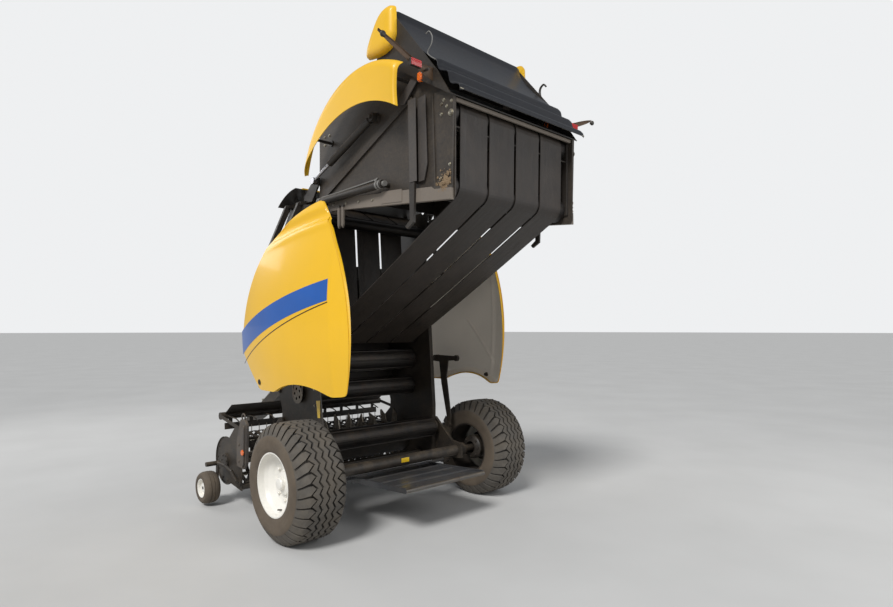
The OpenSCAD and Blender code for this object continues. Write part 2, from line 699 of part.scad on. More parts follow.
module side_shields() color(yellow) both() {
  difference() {
    bar(shield_outer[0], shield_outer[1], shield_outer[2], shield_y - shield_depth, shield_y, $fn=240);
    bar(shield_outer[0], shield_outer[1], shield_outer[2] - 8, shield_y - shield_depth - 1, shield_y - 8,
      $fn=240);
    bar(shield_inner[0], shield_inner[1], shield_inner[2], shield_y - shield_depth - 10, shield_y + 10,
      $fn=240);
    // rear end, cut by a wide arc
    bar(-1990, 3390, 1004, shield_y - shield_depth - 10, shield_y + 10, $fn=240);
  }
  for (c = shield_stays) bar(c[0], c[1], 14, gate_out + seat, shield_y - 7);
}

// Net wrap box on the tailgate's back; its floor lies on the tailgate's slope
floor_a = [-600, 3695];
floor_b = [-1405, 3215];
cover_a = [-800, cover_top_z];
cover_b = [-1290, 3430];
cover_c = [rear_x, 3230];
cover_pin = cover_a + [26, -32];

module net_box() color(dark) {
  n = [-sin(heading(floor_b, floor_a)), cos(heading(floor_b, floor_a))];
  across(-net_half, net_half)
    polygon([floor_a + n * seat, floor_b + n * seat, floor_b + n * 8, floor_a + n * 8]);
  both() difference() {
    across(net_half - 8, net_half) polygon([floor_a + n * 4, cover_a + [50, -16], cover_a + [6, -18],
      cover_b + [18, -12], floor_b + n * 4]);
    bar(cover_pin[0], cover_pin[1], 8 + run, net_half - 20, net_half + 10);
  }
  across(-net_half, net_half) polygon([floor_a + n * 8, floor_a + n * seat, cover_a + [58, -20],
    cover_a + [50, -20]]);
}

// Yellow ends over the front half of the net box
module net_box_caps() color(yellow) both() across(net_half + seat, cap_out) polygon([
  [-500, 3722], [-508, 3775], [-560, 3868], [-632, 3965], [-672, 4008], [-720, 4032], [-770, 4040],
  [-815, 4034], [-845, 4012], [-850, 3800], [-800, 3716], [-700, 3698], [-600, 3704]
]);

// Outer line of the net cover: a bulged flap, then a lip with pressed flutes
cover_out = [sin(heading(cover_b, cover_a)), -cos(heading(cover_b, cover_a))] * -1;
cover_bulge = 20;
flute = 8;
flute_count = 3;
cover_line = concat(
  [for (i = [0:9]) cover_a + (cover_b - cover_a) * i / 9 + cover_out * cover_bulge * sin(20 * i)],
  [for (i = [1:2 * flute_count]) cover_b + (cover_c - cover_b) * i / (2 * flute_count)
    + cover_out * (i % 2) * flute]
);

module net_cover() color(black) {
  across(13 - net_half, net_half - 13)
    polygon(concat(cover_line, reversed([for (p = cover_line) p - cover_out * 5])));
  both() {
    strap(cover_a + [-3, -3], cover_pin, 8, net_half - 42, net_half - 13);
    bar(cover_pin[0], cover_pin[1], 8, net_half - 42, net_half);
  }
}

// Wings that carry the rear lamps: [how far out, underside, top]
wing_x = -1246;
wing_table = [
  [net_half + seat, 3352, 3436], [790, 3362, 3432], [850, 3384, 3436], [920, 3410, 3454],
  [1010, 3448, 3488], [1100, 3486, 3518], [wing_out, 3530, 3544]
];

module lamp_wings() color(orange) both() translate([wing_x, 0, 0]) rotate([90, 0, 90])
  linear_extrude(12) polygon(concat(
    [for (p = wing_table) [p[0], p[1]]],
    reversed([for (p = wing_table) [p[0], p[2]]])
  ));

module rear_lamps() color([0.7, 0.08, 0.06]) both()
  translate([wing_x - 24, 850, 3388]) cube([24 - seat, 90, 46]);

module latch_hooks() color(black) both() across(gate_out + 30 + seat, gate_out + 50) polygon([
  [-980, 2700], [-1040, 2700], [-1030, 2420], [-960, 2380], [-940, 2400], [-990, 2440]
]);

module tension_cylinders() color(black) both() {
  rod([180, 2745], [-700, 2745], gate_out + 66, 30);
  for (x = [165, -685]) bar(x, 2745, 20, gate_out + seat, gate_out + 66);
}

module lift_barrel() color(black) {
  difference() {
    union() {
      rod(ram_gate + 40 * unit(ram_gate, ram_frame), ram_gate + 640 * unit(ram_gate, ram_frame), ram_y,
        ram_barrel_r);
      bar(ram_gate[0], ram_gate[1], 34, ram_y - 20, ram_y + 20);
      rod(ram_gate, ram_gate + 60 * unit(ram_gate, ram_frame), ram_y, 20);
    }
    bar(ram_gate[0], ram_gate[1], ram_pin_r + run, ram_y - 30, ram_y + 30);
    rod(ram_gate + 70 * unit(ram_gate, ram_frame), ram_gate + 700 * unit(ram_gate, ram_frame), ram_y,
      ram_rod_r + run);
  }
}
function unit(a, b) = (b - a) / dist(a, b);

module lift_rod() color(steel) {
  rod(ram_gate + 100 * unit(ram_gate, ram_frame), ram_frame, ram_y, ram_rod_r);
  bar(ram_frame[0], ram_frame[1], 30, ram_y - 20, ram_y + 20);
}

module lift_barrel_left() lift_barrel();
module lift_barrel_right() on_side(-1) lift_barrel();
module lift_rod_left() lift_rod();
module lift_rod_right() on_side(-1) lift_rod();

module side_panel() color(yellow) {
  intersection() {
    translate([bulge_x, panel_y - bulge_h, bulge_z]) rotate([0, 0, 60])
      rotate_extrude(angle=60, $fn=720) intersection() {
        difference() {
          translate([bulge_h - bulge_v, 0]) circle(r=bulge_v, $fn=360);
          translate([bulge_h - bulge_v, 0]) circle(r=bulge_v - panel_t, $fn=360);
        }
        translate([bulge_h - 400, -1200]) square([500, 2400]);
      }
    bar(panel_rear_arc[0], panel_rear_arc[1], panel_rear_arc[2], panel_y - 360, panel_y + 140, $fn=240);
    bar(panel_front_arc[0], panel_front_arc[1], panel_front_arc[2], panel_y - 360, panel_y + 140,
      $fn=240);
    difference() {
      across(panel_y - 360, panel_y + 140) polygon([[-700, 1140], [-280, 1137], [657, 1050],
        [1156, 1470], [1400, 3000], [-700, 3000]]);
      bar(panel_arch[0], panel_arch[1], panel_arch[2], panel_y - 400, panel_y + 200, $fn=180);
    }
  }
  // arms up to the hinge pins on the frame
  for (x = hinge_places) translate([x + hinge_plate + 4, 0, 0]) difference() {
    skin = panel_y - bulge_h + sqrt(pow(bulge_h, 2) - pow(x + hinge_plate + 17 - bulge_x, 2));
    rotate([90, 0, 90]) linear_extrude(26) polygon([
      [panel_hinge[0] - 20, panel_hinge[1] - 20], [panel_hinge[0], panel_hinge[1] + 24],
      [panel_hinge[0] + 30, panel_hinge[1] + 10], [skin - 34, 2220], [skin - 24, 2120],
      [skin - 54, 2170]
    ]);
    translate([-5, panel_hinge[0], panel_hinge[1]]) rotate([0, 90, 0])
      cylinder(r=hinge_pin_r + run, h=40);
  }
}

module side_panel_left() side_panel();
module side_panel_right() on_side(-1) side_panel();

// Ramp that the bale rolls off over: a sheet between two rails, with tubes at its ends
module bale_ramp() color(black) {
  half = chamber_half - 200;
  bar(ramp_pin[0], ramp_pin[1], 14, -wall_out - 36, wall_out + 36);
  across(-half, half) polygon([[170, 352], [ramp_end[0], ramp_end[1]], [ramp_end[0], ramp_end[1] - 6],
    [170, 346]]);
  bar(ramp_end[0], ramp_end[1] - 8, 17, -half, half);
  both() strap([150, 350], ramp_end + [0, -4], 22, half - 12, half);
  for (f = [0.35, 0.7]) {
    p = ramp_pin + (ramp_end - ramp_pin) * f;
    across(-half, half) polygon([p - [20, 26], p + [20, -26], p + [20, 2], p - [20, -2]]);
  }
}

machine() chamber_walls();
machine() cross_members();
machine() axle_beam();
machine() drawbar();
machine() hitch_eye();
machine() jack_sleeve();
machine() gearbox();
machine() driveline();
machine() front_shield();
machine() top_hood();
machine() chamber_rolls();
machine() front_belt_rolls();
machine() front_belts();
machine() inner_belts();
machine() drive_chains();
machine() feeder_rotor();
machine() pickup_frame();
machine() stripper_bands();
machine() gauge_arms();
machine() wind_guard();
machine() pickup_reel();
machine() gauge_wheel_left();
machine() gauge_wheel_right();
machine() tyre_left();
machine() tyre_right();
machine() rim_left();
machine() rim_right();
machine() tailgate_walls();
machine() tailgate_beams();
machine() tailgate_rolls();
machine() tailgate_belts();
machine() side_shields();
machine() net_box();
machine() net_box_caps();
machine() lamp_wings();
machine() rear_lamps();
machine() latch_hooks();
machine() tension_cylinders();
machine() net_cover();
machine() lift_barrel_left();
machine() lift_barrel_right();
machine() lift_rod_left();
machine() lift_rod_right();
machine() side_panel_left();
machine() side_panel_right();
machine() jack_leg();
machine() bale_ramp();
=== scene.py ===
"""Round baler with its tailgate raised: the finish of its surfaces and its fine pieces.

Lengths are in metres. X points forwards, Y to the left and Z up. Places are written from the
ground under the wheel axle, as on a drawing of the machine, and Piece.finish moves them by
AXLE_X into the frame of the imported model.
"""
import math

import bmesh
import bpy
import numpy as np
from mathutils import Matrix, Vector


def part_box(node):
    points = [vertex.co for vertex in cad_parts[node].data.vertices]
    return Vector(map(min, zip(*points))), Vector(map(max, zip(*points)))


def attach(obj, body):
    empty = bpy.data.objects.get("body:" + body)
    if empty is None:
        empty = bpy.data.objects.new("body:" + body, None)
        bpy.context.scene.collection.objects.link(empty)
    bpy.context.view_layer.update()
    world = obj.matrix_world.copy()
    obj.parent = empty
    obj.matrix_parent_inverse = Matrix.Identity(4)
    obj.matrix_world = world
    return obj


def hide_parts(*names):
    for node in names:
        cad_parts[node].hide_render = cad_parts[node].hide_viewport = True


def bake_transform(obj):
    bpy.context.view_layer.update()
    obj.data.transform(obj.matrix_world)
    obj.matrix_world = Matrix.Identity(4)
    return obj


bl_info = {
    "name": "Round baler finish",
    "version": (1, 0, 0),
    "blender": (4, 5, 0),
    "location": "View3D > Sidebar > Baler",
    "description": "Builds the surfaces, treads, belts and fittings of a round baler",
    "category": "Object",
}

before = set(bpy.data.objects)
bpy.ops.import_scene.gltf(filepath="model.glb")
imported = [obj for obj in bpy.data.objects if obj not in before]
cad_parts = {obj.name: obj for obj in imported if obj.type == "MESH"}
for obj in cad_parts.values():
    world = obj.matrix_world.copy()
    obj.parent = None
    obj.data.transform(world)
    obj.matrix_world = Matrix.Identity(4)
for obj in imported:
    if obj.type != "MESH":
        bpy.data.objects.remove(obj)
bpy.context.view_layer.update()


def middle(node, axis):
    """Middle of a node's box along one axis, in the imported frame."""
    low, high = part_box(node)
    return (low[axis] + high[axis]) / 2


AXLE_X = middle("tyre_left", 0)
AXLE_Z = middle("tyre_left", 2)
TRACK_HALF = middle("tyre_left", 1)
TYRE_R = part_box("tyre_left")[1][2] - AXLE_Z
TYRE_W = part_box("tyre_left")[1][1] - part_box("tyre_left")[0][1]
RIM_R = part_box("rim_left")[1][2] - AXLE_Z
SIDES = (("left", 1), ("right", -1))

# Front side panel: the middle of its double curve, the arcs (x, z, radius) and lines that cut its
# outline, its hinge, and how far a ray runs that meets none of them
PANEL_Y = 1.060
BULGE_X, BULGE_Z, BULGE_H, BULGE_V = 0.450, 1.750, 3.100, 3.900
PANEL_REAR_ARC = (1.328, 1.600, 1.800)
PANEL_FRONT_ARC = (-0.409, 1.132, 1.600)
PANEL_ARCH = (0.087, 0.335, 0.882)
PANEL_FOOT = ((-0.700, 1.140), (-0.280, 1.137), (0.657, 1.050), (1.156, 1.470))
PANEL_HINGE = (0.740, 2.780)
FAR = 9.0

# Raised side shields: outer and inner arcs, (x, z, radius), and where their stays stand, (x, z)
SHIELD_Y = 0.860
SHIELD_OUTER = (-0.567, 2.774, 0.875)
SHIELD_INNER = (-0.497, 2.356, 0.994)
SHIELD_STAYS = ((0.100, 3.238), (-0.560, 3.500), (-0.930, 3.440))

# Section of a tyre: share of the way from rim to crown, and how far it stays in from its half width
TYRE_SECTION = ((0, 0.016), (0.12, 0.006), (0.35, 0), (0.53, 0.008), (0.69, 0.024), (0.82, 0.042),
                (0.92, 0.062), (0.975, 0.080), (1, 0.100))

# Net cover: its top, the foot of its hollow and its lip, (x, z), and the pin it turns on
COVER_TOP, COVER_KNEE, COVER_LIP = (-0.800, 4.000), (-1.215, 3.525), (-1.490, 3.230)
COVER_PIN = (-0.774, 3.968)

# Outer faces of the frame's and the tailgate's walls, and the pin between them, (x, z)
WALL_OUT = 0.658
GATE_OUT = 0.672
PIVOT = (0.450, 2.660)

# Belts: width, pitch and thickness, and the rolls at the ends of their inner run, (x, z, radius)
BELT_W = 0.270
BELT_PITCH = 0.294
BELT_T = 0.007
LOW_ROLL = (0.575, 1.590, 0.060)
GATE_LOWER_ROLL = (-1.245, 2.650, 0.095)

# Tension cylinders' line, pickup reel's shaft and outer face of the pickup's side plates
CYLINDER_Z = 2.745
REEL_X, REEL_Z = 1.42, 0.40
PICKUP_OUT = 1.0182

# Camera: width of its sensor in millimetres and the level way it looks, (x, y)
SENSOR = 36.0
LOOK = (0.727, -0.688)

# Half the width of the floor
FLOOR_HALF = 400.0


def ease(t):
    """Smooth step: 3 t^2 - 2 t^3, with t held between 0 and 1."""
    t = np.clip(t, 0.0, 1.0)
    return t * t * (3.0 - 2.0 * t)


def unit(vectors):
    """Each vector over its length."""
    return vectors / np.maximum(np.linalg.norm(vectors, axis=-1, keepdims=True), 1e-12)


def surface(x, y, z):
    """A net of points from its three coordinates, each spread to the shape of all."""
    return np.stack(np.broadcast_arrays(x, y, z), -1)


def across_axis(first, second, along, axis):
    """Points from two coordinates across an axis and one along it."""
    parts = [first, second]
    parts.insert(axis, along)
    return surface(*parts)


def quads(n):
    """The faces of a net of point numbers."""
    return np.stack([n[:-1, :-1], n[1:, :-1], n[1:, 1:], n[:-1, 1:]], -1).reshape(-1, 4)


def arc(centre, radius, start, end, count):
    """Points on a circle arc in a plane: centre + radius (cos a, sin a), a in degrees."""
    a = np.radians(np.linspace(start, end, count))
    return np.stack([centre[0] + radius * np.cos(a), centre[1] + radius * np.sin(a)], 1)


def rounded(corners, radius, steps=5):
    """A closed outline whose corners are replaced by tangent arcs of one radius.

    At each corner the arc is drawn as the quadratic curve between the two tangent points.
    """
    p = np.asarray(corners, float)
    before = np.roll(p, 1, 0) - p
    after = np.roll(p, -1, 0) - p
    room_a = np.linalg.norm(before, axis=1, keepdims=True)
    room_b = np.linalg.norm(after, axis=1, keepdims=True)
    cut = np.minimum(radius, 0.45 * np.minimum(room_a, room_b))
    a = p + before / room_a * cut
    b = p + after / room_b * cut
    t = np.linspace(0, 1, steps)[None, :, None]
    curve = (1 - t) ** 2 * a[:, None] + 2 * t * (1 - t) * p[:, None] + t * t * b[:, None]
    return curve.reshape(-1, 2)


def frames(path):
    """Two unit vectors across a path at each of its points, carried along it without twist."""
    ahead = np.roll(path, -1, 0) - np.roll(path, 1, 0)
    ahead[0] = path[1] - path[0]
    ahead[-1] = path[-1] - path[-2]
    ahead = unit(ahead)
    start = np.eye(3)[np.argmin(np.abs(ahead[0]))]
    side = np.empty_like(path)
    side[0] = np.cross(ahead[0], start)
    for i in range(1, len(path)):
        side[i] = side[i - 1] - ahead[i] * np.dot(side[i - 1], ahead[i])
    side = unit(side)
    return side, np.cross(ahead, side)


def smooth_path(points, count):
    """A Catmull-Rom curve through the points: p(t) is the cubic whose slope at each point is
    half the way between its two neighbours."""
    p = np.asarray(points, float)
    p = np.vstack([2 * p[0] - p[1], p, 2 * p[-1] - p[-2]])
    at = np.linspace(0, len(p) - 3 - 1e-9, count)
    i = at.astype(int)
    t = (at - i)[:, None]
    a, b, c, d = p[i], p[i + 1], p[i + 2], p[i + 3]
    return 0.5 * (2 * b + (c - a) * t + (2 * a - 5 * b + 4 * c - d) * t**2
                  + (3 * b - a - 3 * c + d) * t**3)


class Piece:
    """Gathers the points and faces of one piece and makes its mesh."""

    def __init__(self):
        self.points = []
        self.faces = []
        self.total = 0

    def add(self, points, faces):
        """Adds a part: points (n, 3) and faces as a list of index arrays."""
        points = np.asarray(points, float).reshape(-1, 3)
        self.points.append(points)
        self.faces += [np.asarray(f, np.int64) + self.total for f in faces]
        self.total += len(points)
        return self

    def grid(self, points, wrap_rows=False, wrap_cols=False, caps=False):
        """A net of quads over points (rows, cols, 3); caps close its first and last row."""
        rows, cols = points.shape[:2]
        n = np.arange(rows * cols).reshape(rows, cols)
        a = np.vstack([n, n[:1]]) if wrap_rows else n
        a = np.hstack([a, a[:, :1]]) if wrap_cols else a
        faces = [quads(a)]
        if caps:
            faces += [n[:1, ::-1], n[-1:]]
        return self.add(points, faces)

    def doubled(self, points, moved, faces, edge):
        """A plate: the points with their faces, the same ones moved, and a rim along the edge."""
        total = points[..., 0].size
        after = np.roll(edge, -1)
        rim = np.stack([edge, after, after + total, edge + total], 1)
        back = [f[:, ::-1] + total for f in faces]
        return self.add(np.stack([points, points + moved]), [*faces, *back, rim])

    def shell(self, points, thickness):
        """A plate that follows a net of points. Its other face lies one thickness along the normal
        of the net, which is the cross product of its two directions."""
        normal = unit(np.cross(np.gradient(points, axis=0), np.gradient(points, axis=1)))
        n = np.arange(points[..., 0].size).reshape(points.shape[:2])
        edge = np.concatenate([n[0], n[1:, -1], n[-1, -2::-1], n[-2:0:-1, 0]])
        return self.doubled(points, normal * thickness, [quads(n)], edge)

    def disc_shell(self, points, thickness):
        """Like shell, for a net of rings round one middle point, points[0] being that point."""
        around = (np.roll(points, -1, 1) - np.roll(points, 1, 1)) / 2
        normal = unit(np.cross(np.gradient(points, axis=0), around))
        normal[0] = unit(normal[1].mean(0))
        n = np.arange(points[..., 0].size).reshape(points.shape[:2])
        a = np.hstack([n, n[:, :1]])
        fan = np.stack([np.zeros_like(n[0]), a[1, :-1], a[1, 1:]], 1)
        return self.doubled(points, normal * thickness, [quads(a[1:]), fan], n[-1])

    def tube(self, path, radius, sides):
        """A round tube: rings of radius (cos a) u + (sin a) v about each point of the path."""
        path = np.asarray(path, float)
        u, v = frames(path)
        a = np.linspace(0, 2 * math.pi, sides, endpoint=False)
        r = np.broadcast_to(np.asarray(radius, float), len(path))[:, None, None]
        ring = u[:, None] * np.cos(a)[None, :, None] + v[:, None] * np.sin(a)[None, :, None]
        return self.grid(path[:, None] + r * ring, False, True, True)

    def lathe(self, profile, centre, axis=1, sides=48, ring=False):
        """Turns a profile of (radius, height) pairs about an axis through the centre:
        radius (cos a, sin a) in the plane across the axis, height along it. A ring's profile
        closes on itself."""
        profile = np.asarray(profile, float)
        a = np.linspace(0, 2 * math.pi, sides, endpoint=False)
        radius, height = profile[:, :1], profile[:, 1:]
        points = across_axis(radius * np.cos(a), radius * np.sin(a), height, axis)
        return self.grid(points + np.asarray(centre, float), ring, True, not ring)

    def prism(self, outline, low, high, axis=1, bevel=0.0015):
        """Carries an outline across the machine from low to high, with its edges broken."""
        outline = np.asarray(outline, float)
        after = np.roll(outline, -1, 0)
        turn = after - np.roll(outline, 1, 0)
        area = np.sum(outline[:, 0] * after[:, 1] - after[:, 0] * outline[:, 1])
        inward = unit(np.stack([-turn[:, 1], turn[:, 0]], 1)) * (1 if area > 0 else -1)
        small = outline + inward * bevel
        rows = ((small, low), (outline, low + bevel), (outline, high - bevel), (small, high))
        points = [across_axis(shape[:, 0], shape[:, 1], at, axis) for shape, at in rows]
        return self.grid(np.stack(points), False, True, True)

    def plate(self, corners, radius, low, high, axis=1, bevel=0.0015, steps=5):
        """A prism whose outline has rounded corners."""
        return self.prism(rounded(corners, radius, steps), low, high, axis, bevel)

    def pipe(self, points, count, radius, sides=8):
        """A tube along the smooth curve through a few points."""
        return self.tube(smooth_path(points, count), radius, sides)

    def box(self, low, high, bevel=0.003):
        """A box with broken edges."""
        outline = [(low[0], low[2]), (high[0], low[2]), (high[0], high[2]), (low[0], high[2])]
        return self.plate(outline, bevel, low[1], high[1], 1, bevel, 3)

    def bolts(self, places, axis=1, size=0.010, height=0.007, toward=1):
        """Six-sided bolt heads on round washers at the places, all along one axis."""
        a = np.radians(np.arange(6) * 60.0)
        b = np.radians(np.arange(12) * 30.0)
        for place in places:
            for angles, levels in ((b, ((1.3, 0.0), (1.3, 0.2))),
                                   (a, ((1.0, 0.2), (1.0, 0.85), (0.8, 1.0)))):
                r, h = np.array(levels).T[:, :, None]
                ring = across_axis(r * size * np.cos(angles), r * size * np.sin(angles),
                                   h * height * toward, axis)
                self.grid(ring + np.asarray(place, float), False, True, True)
        return self

    def mirrored(self):
        """Adds the same parts again on the other side of the centre plane."""
        self.points.append(np.concatenate(self.points) * [1, -1, 1])
        self.faces += [f[:, ::-1] + self.total for f in self.faces]
        self.total *= 2
        return self

    def finish(self, name, material, body, replaces=(), side=1, angle=32, slot=None, values=None):
        """Makes the object, gives it its material and lets it ride on its body. A side of -1 puts
        it on the right; values hold a number for each point, by name. The slot, the material's unless
        the call names one, is worked out but given to nothing."""
        points = np.concatenate(self.points) * [1, side, 1] + [AXLE_X, 0, 0]
        sizes = np.concatenate([np.full(len(f), f.shape[1]) for f in self.faces])
        loops = np.concatenate([f.reshape(-1) for f in self.faces])
        mesh = bpy.data.meshes.new(name)
        mesh.vertices.add(len(points))
        mesh.vertices.foreach_set("co", points.astype(np.float32).reshape(-1))
        mesh.loops.add(len(loops))
        mesh.loops.foreach_set("vertex_index", loops.astype(np.int32))
        mesh.polygons.add(len(sizes))
        starts = np.concatenate([[0], np.cumsum(sizes)[:-1]])
        mesh.polygons.foreach_set("loop_start", starts.astype(np.int32))
        mesh.update(calc_edges=True)
        mesh.validate()
        outwards(mesh)
        mesh.shade_smooth()
        mesh.set_sharp_from_angle(angle=math.radians(angle))
        for key, numbers in (values or {}).items():
            layer = mesh.attributes.new(key, "FLOAT", "POINT")
            layer.data.foreach_set("value", numbers.reshape(-1).astype(np.float32))
        obj = in_scene(name, mesh)
        mesh.materials.append(MATERIALS[material])
        if body is not None:
            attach(obj, body)
        if replaces:
            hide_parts(*replaces)
        slot = slot or SLOTS[material]
        return obj


def in_scene(name, data):
    """A new object of the scene that shows the data."""
    obj = bpy.data.objects.new(name, data)
    bpy.context.scene.collection.objects.link(obj)
    return obj


def outwards(mesh):
    """Turns the faces of every closed part outwards."""
    work = bmesh.new()
    work.from_mesh(mesh)
    bmesh.ops.recalc_face_normals(work, faces=work.faces)
    work.to_mesh(mesh)
    work.free()


class Finish:
    """Builds one node material step by step."""

    def __init__(self, name):
        self.material = bpy.data.materials.new(name)
        self.material.use_nodes = True
        self.tree = self.material.node_tree
        self.shader = self.tree.nodes["Principled BSDF"]
        self.place = self.tree.nodes.new("ShaderNodeTexCoord").outputs["Object"]

    def node(self, kind, inputs, **settings):
        """A node with its settings, and its inputs linked to sockets or set to values."""
        made = self.tree.nodes.new("ShaderNode" + kind)
        for key, value in settings.items():
            setattr(made, key, value)
        for key, value in inputs.items():
            if isinstance(value, bpy.types.NodeSocket):
                self.link(value, made.inputs[key])
            else:
                made.inputs[key].default_value = value
        return made

    def link(self, source, target):
        self.tree.links.new(source, target)

    def noise(self, scale, detail=4.0, stretch=(1, 1, 1), rough=0.55):
        """Noise between 0 and 1 on Object coordinates, stretched by its axes."""
        place = self.node("Mapping", {"Vector": self.place, "Scale": stretch}).outputs["Vector"]
        inputs = {"Vector": place, "Scale": scale, "Detail": detail, "Roughness": rough}
        return self.node("TexNoise", inputs).outputs["Fac"]

    def remap(self, source, low, high, to_low=0.0, to_high=1.0):
        """Carries a value from one range to another and holds it there."""
        inputs = {"Value": source, "From Min": low, "From Max": high, "To Min": to_low, "To Max": to_high}
        return self.node("MapRange", inputs).outputs["Result"]

    def math(self, operation, a, b):
        return self.node("Math", {0: a, 1: b}, operation=operation).outputs[0]

    def mix(self, factor, a, b):
        """Mixes two colours, or a colour and a socket, by a factor."""
        a, b = [(*colour, 1.0) if isinstance(colour, tuple) else colour for colour in (a, b)]
        return self.node("Mix", {"Factor": factor, 6: a, 7: b}, data_type="RGBA").outputs[2]

    def share(self, source, axis):
        """One axis of a vector."""
        return self.node("SeparateXYZ", {0: source}).outputs[axis]

    def facing_up(self):
        """How far the surface faces up, between 0 and 1."""
        normal = self.node("NewGeometry", {}).outputs["Normal"]
        return self.remap(self.share(normal, "Z"), -0.2, 0.9)

    def height(self, low, high):
        """1 at the height low and below it, falling to 0 at the height high."""
        return self.remap(self.share(self.place, "Z"), low, high, 1.0, 0.0)

    def wave(self, direction, scale):
        """Even bands across the piece, between 0 and 1."""
        return self.node("TexWave", {"Vector": self.place, "Scale": scale}, wave_type="BANDS",
                         bands_direction=direction).outputs["Fac"]

    def shades(self, colour, source, low, high, dark, light):
        """A colour times dark where a value is low, and times light where it is high."""
        return self.mix(self.remap(source, low, high), shade(colour, dark), shade(colour, light))

    def value(self, name):
        """A value stored on the mesh's points."""
        return self.node("Attribute", {}, attribute_name=name).outputs["Fac"]

    def bump(self, heights):
        """Adds bumps one after another: pairs of a height socket and its depth in metres."""
        below = {}
        for source, depth in heights:
            inputs = {"Distance": depth, "Strength": 1.0, "Height": source, **below}
            below = {"Normal": self.node("Bump", inputs).outputs["Normal"]}
        self.link(below["Normal"], self.shader.inputs["Normal"])

    def done(self, colour, roughness, **fixed):
        self.link(colour, self.shader.inputs["Base Color"])
        self.link(roughness, self.shader.inputs["Roughness"])
        for key, value in fixed.items():
            self.shader.inputs[key.replace("_", " ")].default_value = value
        return self.material


def line_points(a, b, count):
    """Points spread evenly from a to b."""
    return [tuple(p) for p in np.linspace(a, b, count)]


def on_circle(x, y, z, radius, angles):
    """Points of a circle that faces sideways: x + radius cos a and z + radius sin a."""
    return [(x + radius * math.cos(a), y, z + radius * math.sin(a)) for a in angles]


def linear(colour):
    """The linear colour for a display colour: ((c + 0.055) / 1.055) ^ 2.4."""
    return tuple(((c + 0.055) / 1.055) ** 2.4 if c > 0.04045 else c / 12.92 for c in colour[:3])


def shade(colour, factor):
    return tuple(min(1.0, c * factor) for c in colour)


def dusty(f, colour, amount, floor=0.25):
    """Lays field dust over a colour: more on faces that look up and near the ground."""
    s = bpy.context.scene.baler_colours
    up = f.facing_up()
    down = f.height(0.2, 2.6)
    lying = f.math("ADD", f.math("MULTIPLY", up, 0.65), f.math("MULTIPLY", down, 0.35))
    patches = f.remap(f.noise(7.0, 8.0, rough=0.68), 0.38, 0.66)
    fine = f.remap(f.noise(60.0, 3.0), 0.35, 0.7, 0.55, 1.0)
    cover = f.math("MULTIPLY", f.math("ADD", f.math("MULTIPLY", patches, lying), floor), fine)
    factor = f.math("MULTIPLY", cover, amount)
    return f.mix(factor, colour, linear(s.dust)), factor


def painted(name, colour, rough, dust, coat=0.0, peel=0.00012, chips=0.0, fade=0.12, metallic=0.0):
    """Paint or moulded plastic: slow change of tone, orange peel, chips to metal, dust."""
    f = Finish(name)
    tone = f.shades(linear(colour), f.noise(1.6, 3.0), 0.3, 0.7, 1 - fade, 1 + fade)
    if chips:
        worn = f.math("MULTIPLY", f.remap(f.noise(38.0, 9.0, rough=0.75), 0.69, 0.72), chips)
        tone = f.mix(worn, tone, linear((0.42, 0.38, 0.34)))
    tone, cover = dusty(f, tone, dust)
    scratch = f.noise(90.0, 2.0, stretch=(0.08, 1.0, 1.6))
    roughness = f.remap(f.math("ADD", f.math("MULTIPLY", scratch, 0.35), cover), 0.0, 1.1, rough, 0.95)
    f.bump([(f.noise(140.0, 2.0), peel), (f.noise(4.0, 2.0), 0.0012)])
    fixed = {"Metallic": metallic}
    if coat:
        fixed.update(Coat_Weight=coat, Coat_Roughness=0.12)
    return f.done(tone, roughness, **fixed)


def rim_paint(name, colour):
    """Rim paint: bright on the outer side, and dark on the side of the machine with grease, dust and
    painted shade.
    """
    f = Finish(name)
    tone = f.shades(linear(colour), f.noise(1.6, 3.0), 0.3, 0.7, 0.96, 1.04)
    tone, cover = dusty(f, tone, 0.16)
    # The side toward the machine is darkened: grime and painted shade together
    out = f.math("ABSOLUTE", f.share(f.place, "Y"), 0.0)
    inner = f.remap(out, TRACK_HALF + 0.015, TRACK_HALF + 0.045, 1.0, 0.0)
    grime_and_shade = f.mix(f.noise(14.0, 6.0), linear((0.10, 0.095, 0.09)), linear((0.26, 0.22, 0.18)))
    tone = f.mix(inner, tone, grime_and_shade)
    f.bump([(f.noise(140.0, 2.0), 0.00012), (f.noise(4.0, 2.0), 0.0012)])
    return f.done(tone, f.remap(f.math("ADD", cover, inner), 0.0, 1.1, 0.3, 0.95))


def bare_metal(name, colour, rough, dust, metallic=0.85, stain=0.75):
    """Steel polished by crop: scratches run across the machine, with rust in the hollows."""
    f = Finish(name)
    lines = f.noise(70.0, 5.0, stretch=(1.0, 0.06, 1.0))
    tone = f.shades(linear(colour), lines, 0.3, 0.7, 0.6, 1.25)
    rust = f.remap(f.noise(9.0, 8.0, rough=0.7), 0.52, 0.68, 0.0, stain)
    tone = f.mix(rust, tone, linear((0.30, 0.19, 0.12)))
    tone, cover = dusty(f, tone, dust)
    roughness = f.remap(f.math("ADD", f.math("MULTIPLY", lines, 0.5), cover), 0.1, 1.1, rough, 0.9)
    f.bump([(lines, 0.0004), (f.noise(25.0, 5.0), 0.0006)])
    return f.done(tone, roughness, Metallic=metallic)


